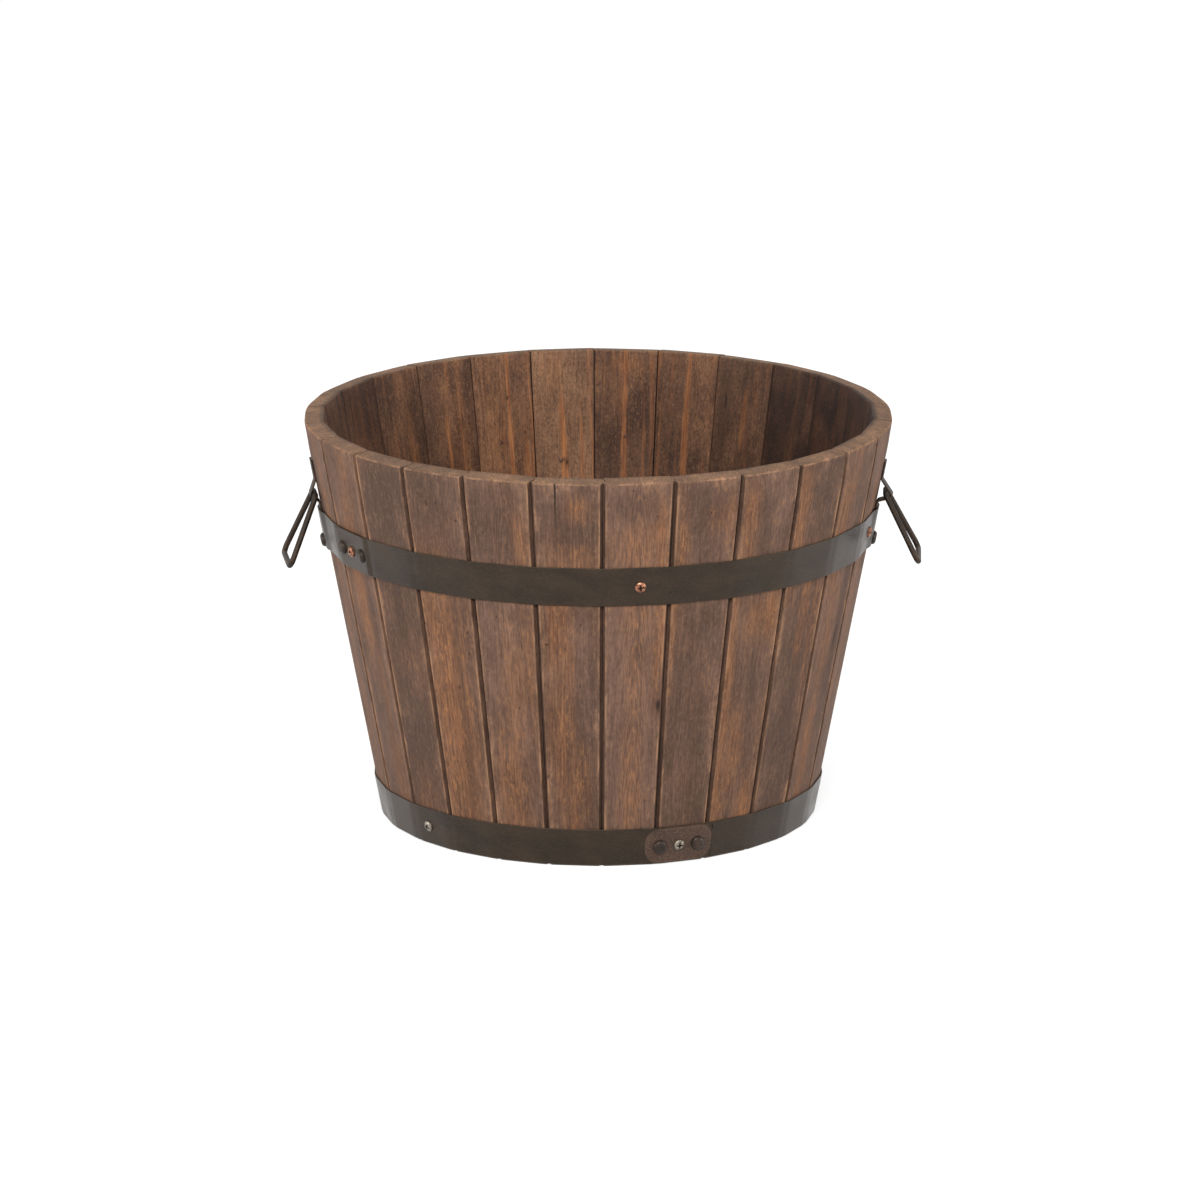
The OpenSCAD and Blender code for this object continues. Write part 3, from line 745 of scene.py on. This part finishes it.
def build_strap(hand, handle, material):
    """The flat strap that lies on the ridge, loops out round the ring and ends behind the
    hoop."""
    az = handle["side"] * HANDLE_AZ
    out, across, up = tilted(az, RIDGE_TILT)
    rim = outward(az) * RIM_R + UP * TUB_H
    back = STRAP_SEAT + STRAP_T / 2
    tip = handle["out"] + ROD_R + handle["room"] + STRAP_T / 2
    loop_top, loop_tip, loop_foot = handle["loop"]
    path = fillet([(back, -handle["strap_top"]), (back, -loop_top), (tip, -loop_tip),
                   (back, -loop_foot), (back, -STRAP_END)], STRAP_BENDS, steps=7)
    w, t, e = STRAP_W / 2, STRAP_T / 2, STRAP_EASE
    section = [(-w + e, -t), (w - e, -t), (w, -t + e), (w, t - e), (w - e, t), (w / 3, t),
               (-w / 3, t), (-w + e, t), (-w, t - e), (-w, -t + e)]
    skin = Skin()
    for i, point in enumerate(path):
        ahead = (path[min(i + 1, len(path) - 1)] - path[max(i - 1, 0)]).normalized()
        normal = Vector((-ahead.y, ahead.x))
        wavy = 0.0002 * noise.noise(Vector((point.y * 90, 2.0, handle["side"])))
        on_wood = 1 - smooth(0.0, STRAP_SETTLE, point.x - back)
        for u, v in section:
            place = point + normal * v
            hammered = max(abs(u) - GROOVE_W / 2 - EDGE_EASE, 0) * tan(HALF) * on_wood
            wide = u + wavy if abs(u) > w / 2 else u
            skin.add(rim + out * (place.x - hammered) + up * place.y + across * wide,
                     grain=(u, point.y, v),
                     worn=1.0 if abs(u) > w - 2 * e else smooth(0.003, 0.008, point.x))
    skin.wrap(len(path), len(section))
    skin.finish(f"{hand}_strap", material, "tub", "handle_steel", f"{hand}_handle_strap")


def build_strap_rivet(hand, handle, material):
    az = handle["side"] * HANDLE_AZ
    z = UPPER_HOOP["z"][0] + STRAP_RIVET_RISE
    axes = tilted(az, RIDGE_TILT)
    seat = outward(az) * ridge_r(z) + UP * z
    seat += axes[0] * (STRAP_SEAT + STRAP_T + HOOP_T - RIVET_SINK)
    skin = Skin()
    add_rivet(skin, seat, axes, 1.9 * handle["side"])
    skin.finish(f"{hand}_strap_rivet_dome", material, "tub", "rivets", f"{hand}_handle_rivet")


def build_ring(hand, handle, material):
    """The bent rod ring, narrow where it passes the strap and wide at the grip."""
    az = handle["side"] * HANDLE_AZ
    out, _, up = tilted(az, RIDGE_TILT)
    pivot = outward(az) * RIM_R + UP * TUB_H + out * handle["out"] - up * PIVOT_DROP
    turned = az + radians(handle["twist"])
    swing = radians(handle["swing"])
    across = sideways(turned)
    down = outward(turned) * sin(swing) - UP * cos(swing)
    normal = across.cross(down).normalized()
    path = fillet([(RING_TOP, 0), (RING_GRIP, -RING_L), (-RING_GRIP, -RING_L), (-RING_TOP, 0)],
                  RING_BENDS, closed=True)
    points = []
    for i, point in enumerate(path):
        after = path[(i + 1) % len(path)]
        parts = int((after - point).length / ROD_STEP) + 1
        points += [point.lerp(after, k / parts) for k in range(parts)]
    skin = Skin()
    for i, point in enumerate(points):
        ahead = (points[(i + 1) % len(points)] - points[i - 1]).normalized()
        side = Vector((-ahead.y, ahead.x))
        grip = smooth(0.020, 0.055, -point.y)
        for unit_x, unit_y in circle(ROD_SIDES):
            r = ROD_R - ROD_DENT * uneven(point.x * 160, point.y * 160, unit_x + 4)
            place = point + side * (r * unit_x)
            rise = r * unit_y
            skin.add(pivot + across * place.x - down * place.y + normal * rise,
                     grain=(place.x, place.y, rise), worn=0.15 + 0.55 * grip)
    skin.wrap(len(points), ROD_SIDES, closed=True)
    skin.finish(f"{hand}_ring_rod", material, f"{hand}_ring", "handle_steel",
                f"{hand}_handle_ring")


# ---- materials ----


def linear(rgb):
    """An sRGB colour in 0-255 as the linear colour that a shader takes."""
    parts = [c / 255 for c in rgb]
    return [c / 12.92 if c <= 0.04045 else ((c + 0.055) / 1.055) ** 2.4 for c in parts] + [1]


class Value:
    """An output of a node; +, - and * on it add math nodes."""

    def __init__(self, tree, socket):
        self.tree, self.socket = tree, socket

    def __add__(self, other):
        return self.tree.math("ADD", self, other)

    def __sub__(self, other):
        return self.tree.math("SUBTRACT", self, other)

    def __mul__(self, other):
        return self.tree.math("MULTIPLY", self, other)


class Tree:
    """A node tree, with one short call for each kind of node."""

    def __init__(self, owner):
        owner.use_nodes = True
        self.nodes, self.links = owner.node_tree.nodes, owner.node_tree.links

    def feed(self, socket, value):
        if isinstance(value, Value):
            self.links.new(value.socket, socket)
        else:
            socket.default_value = value

    def node(self, kind, output=0, *ordered, **named):
        """A new node's output. Inputs come in order or by name, with _ for a space."""
        node = self.nodes.new("ShaderNode" + kind)
        for socket, value in zip(node.inputs, ordered):
            self.feed(socket, value)
        for key, value in named.items():
            self.feed(node.inputs[key.replace("_", " ")], value)
        return Value(self, node.outputs[output])

    def math(self, kind, a, b=0.0):
        result = self.node("Math", 0, a, b)
        result.socket.node.operation = kind
        return result

    def vector(self, kind, a, b=(0, 0, 0)):
        result = self.node("VectorMath", 1 if kind == "LENGTH" else 0, a, b)
        result.socket.node.operation = kind
        return result

    def step(self, value, low, high, bottom=0.0, top=1.0):
        """bottom up to low, top from high, and a soft step between them."""
        result = self.node("MapRange", 0, value, low, high, bottom, top)
        result.socket.node.interpolation_type = "SMOOTHSTEP"
        return result

    def mix(self, share, a, b, kind="MIX"):
        """Two colours mixed: each is a Value, sRGB in 0-255, or linear with an alpha."""
        result = self.node("Mix", 2, Factor=share)
        mixer = result.socket.node
        mixer.data_type = "RGBA"
        mixer.blend_type = kind
        for socket, color in ((6, a), (7, b)):
            ready = isinstance(color, Value) or len(color) == 4
            self.feed(mixer.inputs[socket], color if ready else linear(color))
        return result


class Shader(Tree):
    """A material. Its color is the surface colour so far, on which each tint lies."""

    def __init__(self, name, metallic=0.0):
        self.material = bpy.data.materials.new(name)
        super().__init__(self.material)
        self.surface = self.nodes["Principled BSDF"].inputs
        self.surface["Metallic"].default_value = metallic
        self.color = None

    def attribute(self, name, output="Fac"):
        result = self.node("Attribute", output)
        result.socket.node.attribute_name = name
        return result

    def noise(self, vector, scale, detail=3.0, rough=0.55, distortion=0.0, shift=(0, 0, 0),
              output="Fac"):
        at = self.node("Mapping", Vector=vector, Scale=scale, Location=shift)
        return self.node("TexNoise", output, Vector=at, Scale=1.0, Detail=detail,
                         Roughness=rough, Distortion=distortion)

    def part(self, vector, name):
        return self.node("SeparateXYZ", name, vector)

    def tint(self, share, color, kind="MIX"):
        self.color = self.mix(share, self.color, color, kind)

    def near(self, place, stave, x, z, w, length, inner):
        """1 near a place on one stave's face, in mm, 0 beyond its reach or on other faces."""
        away = self.vector("SUBTRACT", place, (x * MM, z * MM, stave))
        away = self.vector("MULTIPLY", away, (1 / w / MM, 1 / length / MM, 1000.0))
        return self.step(self.vector("LENGTH", away), inner, 1.0, 1.0, 0.0)

    def shaken(self, place, grain, scale, amount):
        """A place moved by smooth noise, by up to half the amount each way."""
        shake = self.noise(grain, scale, detail=2.0, rough=0.5, output="Color")
        shake = self.vector("SUBTRACT", shake, (0.5, 0.5, 0.5))
        return self.vector("ADD", place, self.vector("MULTIPLY", shake, amount))

    def finish(self, roughness, height, distance, strength, specular=0.5):
        """The material, with its colour, its roughness and a bump of the height."""
        self.feed(self.surface["Base Color"], self.color)
        self.feed(self.surface["Roughness"], roughness)
        self.feed(self.surface["Normal"], self.node("Bump", Height=height, Distance=distance,
                                                    Strength=strength))
        self.surface["Specular IOR Level"].default_value = specular
        return self.material


def stained_wood():
    """Grey-brown stain over warm wood: rubbed edges, bare streaks, knots, dark joints."""
    s = Shader("stained_wood")
    s.grain = s.attribute("grain", "Vector")
    s.place = s.attribute("place", "Vector")
    s.inside = s.attribute("inside")
    s.rim = s.attribute("rim")
    s.fine = s.noise(s.grain, (760, 40, 300), detail=4, rough=0.7)
    s.mottle = s.noise(s.grain, (420, 190, 300), detail=4, rough=0.7)
    s.streak = s.noise(s.grain, (210, 6, 90), detail=4, rough=0.6)
    s.smudge = s.noise(s.grain, (38, 18, 20), detail=5, rough=0.6)
    s.flecks = s.streak * 0.6 + s.mottle * 0.4
    wave = s.noise(s.grain, (15, 1.5, 8), detail=1.5, distortion=0.4)
    rings = s.step(s.math("SINE", wave * 80.0), -0.2, 1.0)
    pores = s.step(s.noise(s.grain, (1300, 70, 500), detail=1), 0.60, 0.72)
    sawn = s.noise(s.grain, (760, 420, 300), detail=3, rough=0.75)
    rough_face = s.math("MAXIMUM", s.inside, s.rim * 0.8)

    color_stain(s)
    s.tint(rough_face * s.step(sawn, 0.30, 0.56, 0.5, 0.0), (46, 30, 22))
    s.tint(rough_face * s.step(sawn, 0.50, 0.76, 0.0, 0.5), (172, 124, 88))
    s.tint(rings * 0.13, (70, 48, 38))
    s.tint(pores * 0.30, (52, 36, 28))
    color_arches(s)
    color_bare_wood(s)
    color_edges_and_joints(s)
    holes = color_knots_and_cracks(s)

    height = s.fine * 0.7 + s.streak * 0.5 + s.mottle * 0.3 + rough_face * sawn
    height = height - pores * 0.5 - rings * 0.15 - holes
    return s.finish(s.step(s.fine, 0.3, 0.7, 0.62, 0.80), height, 0.00035, 0.8, specular=0.25)


def color_stain(s):
    """The stain itself: greyer outside, warmer inside, blotched and speckled."""
    patch = s.noise(s.grain, (16, 7, 10), detail=3)
    body = s.streak * 0.25 + s.smudge * 0.75 + s.attribute("tone") * 0.10
    outside = s.mix(s.step(body, 0.36, 0.66), (93, 70, 58), (125, 96, 81))
    outside = s.mix(s.step(patch, 0.48, 0.72, 0.0, 0.6), outside, (119, 86, 64))
    warm = s.mix(s.step(body, 0.36, 0.62), (78, 50, 36), (134, 94, 68))
    warm = s.mix(s.step(s.streak, 0.54, 0.68, 0.0, 0.6), warm, (156, 92, 52))
    pale = s.attribute("pale") * s.step(s.smudge, 0.25, 0.55, 0.35, 0.8)
    warm = s.mix(pale, warm, (150, 111, 83))
    s.color = s.mix(s.inside, outside, warm)
    s.tint(s.rim, s.mix(s.step(s.smudge, 0.3, 0.7), (93, 69, 50), (131, 99, 73)))
    s.tint(s.step(s.mottle, 0.28, 0.55, 0.42, 0.0), (72, 52, 42))
    s.tint(s.step(s.mottle, 0.50, 0.74, 0.0, 0.34), (164, 128, 104))
    s.tint(s.step(s.fine, 0.30, 0.55, 0.44, 0.0), (64, 46, 37))
    s.tint(s.step(s.fine, 0.54, 0.76, 0.0, 0.42), (176, 134, 100))
    golden = s.noise(s.grain, (420, 100, 250), detail=4, rough=0.7, shift=(3, 1, 4))
    thin_stain = s.math("MAXIMUM", s.attribute("bare"), s.step(s.smudge, 0.52, 0.70, 0.0, 0.6))
    s.tint(s.step(golden, 0.52, 0.64, 0.0, 0.8) * thin_stain, (186, 130, 82))


def color_arches(s):
    """Pale arches of grain where a stave's face cuts the rings at a slant."""
    arch = s.attribute("arch", "Vector")
    across = s.part(arch, "X")
    rise = across * across * ARCH_STEEPNESS + s.part(arch, "Y") + s.smudge * 0.03
    line = s.step(s.math("SINE", rise * (tau / ARCH_STEP)), 0.45, 1.0)
    line = line * s.step(s.math("ABSOLUTE", across), 0.008, 0.016, 1.0, 0.0)
    s.tint(line * s.part(arch, "Z") * s.step(s.fine, 0.3, 0.6) * 0.5, (170, 122, 88))


def color_bare_wood(s):
    """Bare patches outside, bare streaks inside, soot over them, and painted shade at the foot."""
    bare_wood = s.mix(s.step(s.fine, 0.35, 0.65), (120, 74, 45), (172, 118, 78))
    bare = s.attribute("bare") * s.step(s.flecks, 0.36, 0.56, 0.30, 1.0)
    s.tint(bare * 0.62, bare_wood)
    frayed = s.shaken(s.place, s.grain, (240, 30, 100), (0.006, 0.030, 0.0))
    clear_wood = s.mix(s.step(s.fine, 0.35, 0.65), (132, 78, 45), (184, 122, 76))
    for stave, streaks in STREAKS.items():
        for x, z, w, length, strength in streaks:
            spot = s.near(frayed, stave, x, z, w, length, 0.55)
            s.tint(spot * (0.008 * strength), clear_wood)
    # Painted shade: the staves darken towards the foot
    s.tint(s.step(s.part(s.place, "Y"), 0.03, 0.22, 0.14, 0.0), (50, 36, 29))
    soot = s.attribute("soot") * s.step(s.smudge, 0.30, 0.60, 0.45, 1.0)
    s.tint(soot * 0.75, (58, 42, 35))


def color_edges_and_joints(s):
    """Rubbed and worn edges, dirt in the joints, and painted shade that darkens the inside at the
    tub's two sides.
    """
    rubbed = s.attribute("rubbed") * s.step(s.smudge, 0.48, 0.66)
    s.tint(rubbed * s.step(s.flecks, 0.44, 0.60, 0.0, 0.6), (172, 130, 100))
    chip = s.noise(s.grain, (90, 26, 90), detail=4, rough=0.65)
    s.tint(s.attribute("worn") * s.step(chip, 0.42, 0.64, 0.06, 0.75), (184, 140, 106))
    joint = s.mix(s.step(s.smudge, 0.35, 0.65), (46, 32, 25), (74, 52, 40))
    s.tint(s.attribute("groove") * 0.9, joint)
    # Painted shade on the inner faces at the tub's two sides
    painted_side_shade = s.attribute("shade") * s.step(s.smudge, 0.3, 0.7, 1.0, 0.85)
    s.tint(painted_side_shade, SIDE_SHADE_TINT, "MULTIPLY")


def color_knots_and_cracks(s):
    """Knots, cracks and small specks; gives how deep the knots and cracks are."""
    ragged = s.shaken(s.place, s.grain, (300, 150, 300), (0.004, 0.010, 0.0))
    thin = s.shaken(s.place, s.grain, (60, 60, 60), (0.003, 0.0, 0.0))
    crack = holes = s.near(thin, *CRACK, 0.3)
    for stave, x, z, w, length in KNOTS:
        spot = s.near(ragged, stave, x, z, w, length, 0.2)
        halo = s.near(ragged, stave, x, z, 2.4 * w, 2.6 * length, 0.3)
        s.tint(halo * 0.35, (86, 56, 40))
        s.tint(spot * 0.9, (34, 24, 20))
        holes = holes + spot * 0.5
    s.tint(crack * 0.95, (30, 21, 18))
    specks = s.step(s.noise(s.grain, (300, 160, 300), detail=0), 0.83, 0.86)
    s.tint(specks * 0.6, (44, 31, 25))
    return holes


def plain_wood(name, along, shift):
    """Plain sawn boards, stained and weathered: the grain runs along axis 0 (X) or 1 (Y)."""
    def scale(across, length):
        return [length if axis == along else across for axis in range(3)]

    s = Shader(name)
    at = s.node("TexCoord", "Object")
    fine = s.noise(at, scale(800, 22), detail=4, rough=0.65, shift=shift)
    streak = s.noise(at, scale(150, 4), detail=3, shift=shift)
    stain = s.noise(at, (22, 22, 22), detail=4, rough=0.6, shift=shift)
    wave = s.noise(at, scale(18, 1.4), detail=1.5, distortion=0.3, shift=shift)
    rings = s.step(s.math("SINE", wave * 90.0), -0.2, 1.0)
    s.color = s.mix(s.step(streak, 0.35, 0.65), (92, 68, 52), (140, 108, 82))
    s.tint(rings * 0.3, (72, 50, 38))
    s.tint(s.step(stain, 0.42, 0.68, 0.0, 0.6), (66, 50, 41))
    s.tint(s.step(fine, 0.32, 0.68, 0.35, 0.0), (60, 44, 34))
    rough = s.step(fine, 0.3, 0.7, 0.65, 0.85)
    return s.finish(rough, fine - rings * 0.2, 0.0004, 0.8, specular=0.3)


def dark_steel(name, base, worn_color, roughness, edge_wear):
    """Black oxide and old varnish on steel: fine speckle, brown edges and rust freckles."""
    s = Shader(name)
    grain = s.attribute("grain", "Vector")
    cloud = s.noise(grain, (26, 40, 26), detail=5, rough=0.6)
    speck = s.noise(grain, (520, 620, 520), detail=4, rough=0.75)
    rust = s.noise(grain, (150, 190, 150), detail=4, rough=0.65)
    scuffs = s.noise(grain, (40, 900, 200), detail=3)
    darkest, dark, light = ([c * share for c in base] for share in (0.6, 0.9, 1.3))
    s.color = s.mix(s.step(cloud, 0.3, 0.7), dark, light)
    s.tint(s.step(speck, 0.30, 0.5, 0.45, 0.0), darkest)
    s.tint(s.step(speck, 0.52, 0.75, 0.0, 0.40), worn_color)
    s.tint(s.step(rust, 0.58, 0.76) * 0.30, (98, 66, 46))
    s.tint(s.step(scuffs, 0.60, 0.8, 0.0, 0.2), worn_color)
    color_lap_stain(s, cloud, speck)
    rub = s.step(s.noise(grain, (80, 80, 80), detail=4), 0.38, 0.62)
    s.tint(s.attribute("worn") * (rub * edge_wear), worn_color)
    s.surface["Specular Tint"].default_value = (1.0, 0.90, 0.80, 1.0)
    rough = s.step(cloud, 0.3, 0.7, roughness - 0.05, roughness + 0.08)
    return s.finish(rough, speck + cloud, 0.00010, 0.3, specular=0.28)


def color_lap_stain(s, cloud, speck):
    """The brown patch with round corners on a hoop's lap, and the paler line round it."""
    away = s.vector("ABSOLUTE", s.attribute("lap", "Vector"))
    away = s.vector("SUBTRACT", away, [half - STAIN_CORNER for half in STAIN_HALF] + [0])
    away = s.vector("LENGTH", s.vector("MAXIMUM", away))
    inside = s.step(away, STAIN_CORNER - 0.0014, STAIN_CORNER + 0.0004, 1.0, 0.0)
    stain = s.attribute("stain") * s.step(cloud, 0.30, 0.55, 0.5, 1.0)
    s.tint(stain * inside, s.mix(s.step(speck, 0.4, 0.6), (70, 51, 42), (106, 82, 70)))
    from_line = s.math("ABSOLUTE", away - (STAIN_CORNER - 0.0006))
    s.tint(stain * s.step(from_line, 0.0003, 0.0011, 0.5, 0.0), (108, 84, 70))


def screw_metal(name, bright, dull, roughness, made_here=True):
    """Screw heads: bright metal with dull blotches, and painted shade in the cross recess."""
    s = Shader(name, metallic=0.8)
    at = s.attribute("grain", "Vector") if made_here else s.node("TexCoord", "Object")
    blotch = s.noise(at, (380, 380, 380), detail=4, rough=0.65)
    speck = s.noise(at, (1600, 1600, 1600), detail=2)
    s.color = s.mix(s.step(blotch, 0.38, 0.64), bright, dull)
    s.tint(s.step(speck, 0.58, 0.75, 0.0, 0.5), (50, 38, 32))
    if made_here:
        # Painted shade in the cross recess
        s.tint(s.attribute("recess"), (20, 15, 12))
    rough = s.step(blotch, 0.35, 0.65, roughness - 0.06, roughness + 0.18)
    return s.finish(rough, speck, 0.0001, 0.5)


# ---- stage, light and camera ----

WORLD_GREY = 0.36
FLOOR_GREY = 0.35
FLOOR_GLOW = 0.80
FLOOR_HALF = 12.0
LAMP_AIM = Vector((0, 0, 0.2))
# Each lamp's place, diameter and power
LAMPS = {
    "key": ((-0.4, -4.0, 3.1), 2.0, 185),
    "left_side": ((-4.0, -1.2, 0.70), 1.3, 64),
    "right_side": ((4.0, -1.2, 0.70), 1.3, 64),
    "top": ((0.0, 0.6, 4.0), 2.2, 50),
}
CAMERA_PLACE = (-0.102, -6.646, 1.932)
CAMERA_AIM = Vector((0, 0, 0.1812))
CAMERA_LENS = 242.6  # millimetres, on a sensor 36 mm wide
CAMERA_SHIFT = 0.0015


def white_for_rays(tree):
    """1 for rays that should see the background as white, else 0."""
    path = tree.nodes.new("ShaderNodeLightPath").outputs
    camera, glossy, through = (Value(tree, path[f"Is {kind} Ray"])
                               for kind in ("Camera", "Glossy", "Transmission"))
    return tree.math("MAXIMUM", tree.math("MAXIMUM", camera, glossy), through)


def build_world():
    world = bpy.data.worlds.new("studio")
    bpy.context.scene.world = world
    tree = Tree(world)
    color = tree.mix(white_for_rays(tree), (WORLD_GREY, WORLD_GREY, WORLD_GREY, 1), (1, 1, 1, 1))
    tree.feed(tree.nodes["Background"].inputs["Color"], color)
    tree.nodes["Background"].inputs["Strength"].default_value = 1.0


def build_floor():
    """A white floor: partly plain diffuse, so the object's shadow shows, partly glowing."""
    material = bpy.data.materials.new("floor_white")
    tree = Tree(material)
    tree.nodes.clear()
    plain = tree.node("BsdfDiffuse", Color=(FLOOR_GREY, FLOOR_GREY, FLOOR_GREY, 1))
    glow = tree.node("Emission", Color=(1, 1, 1, 1), Strength=white_for_rays(tree) * FLOOR_GLOW)
    out = tree.nodes.new("ShaderNodeOutputMaterial")
    tree.feed(out.inputs["Surface"], tree.node("AddShader", 0, plain, glow))
    mesh = bpy.data.meshes.new("floor")
    corners = [(x * FLOOR_HALF, y * FLOOR_HALF, 0) for x, y in ((-1, -1), (1, -1), (1, 1), (-1, 1))]
    mesh.from_pydata(corners, [], [(0, 1, 2, 3)])
    mesh.materials.append(material)
    put("floor", mesh)


def build_lamp(name, place, size, power):
    light = bpy.data.lights.new(name, "AREA")
    light.shape = "DISK"
    light.size = size
    light.energy = power
    put(name, light, place, LAMP_AIM)


def build_camera():
    data = bpy.data.cameras.new("camera")
    data.lens = CAMERA_LENS
    data.sensor_width = 36
    data.shift_x = CAMERA_SHIFT
    bpy.context.scene.camera = put("camera", data, CAMERA_PLACE, CAMERA_AIM)


# ---- assembly ----

bpy.context.scene.view_settings.view_transform = "Standard"
build_camera()
build_world()
build_floor()
for name, (place, size, power) in LAMPS.items():
    build_lamp(name, place, size, power)

wood = stained_wood()
hoop_steel = dark_steel("hoop_steel", (42, 33, 25), (102, 83, 66), 0.31, 0.2)
ring_steel = dark_steel("handle_steel", (27, 21, 17), (98, 72, 54), 0.52, 0.4)
rivet_steel = dark_steel("rivet_steel", (34, 27, 23), (88, 70, 57), 0.38, 0.4)
copper = screw_metal("copper_screws", (176, 122, 94), (92, 60, 46), 0.36)
grey = screw_metal("grey_screws", (150, 140, 128), (80, 71, 63), 0.40)
plain_grey = screw_metal("batten_screw_metal", (150, 140, 128), (80, 71, 63), 0.40, False)

rng = random.Random(26)
for number in range(1, STAVES + 1):
    build_stave(number, wood, rng)
for hoop in (UPPER_HOOP, LOWER_HOOP):
    build_hoop(hoop, hoop_steel)
    build_lap_rivets(hoop, rivet_steel)
for hand, handle in HANDLES.items():
    build_strap(hand, handle, ring_steel)
    build_strap_rivet(hand, handle, rivet_steel)
    build_ring(hand, handle, ring_steel)
build_hoop_screws(UPPER_HOOP, copper, "copper_screws", rng)
build_hoop_screws(LOWER_HOOP, grey, "grey_screws", rng)

node_materials = {"batten_screws": plain_grey}
for i in range(1, 6):
    node_materials[f"base_board_{i}"] = plain_wood(f"board_wood_{i}", 1, (1.7 * i, 0.4 * i, i))
for i, batten in enumerate(("front_batten", "rear_batten")):
    node_materials[batten] = plain_wood(f"batten_wood_{i}", 0, (0.3 * i, 2.1 * i, 5 + i))
for node, material in node_materials.items():
    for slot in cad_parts[node].material_slots:
        slot.material = material
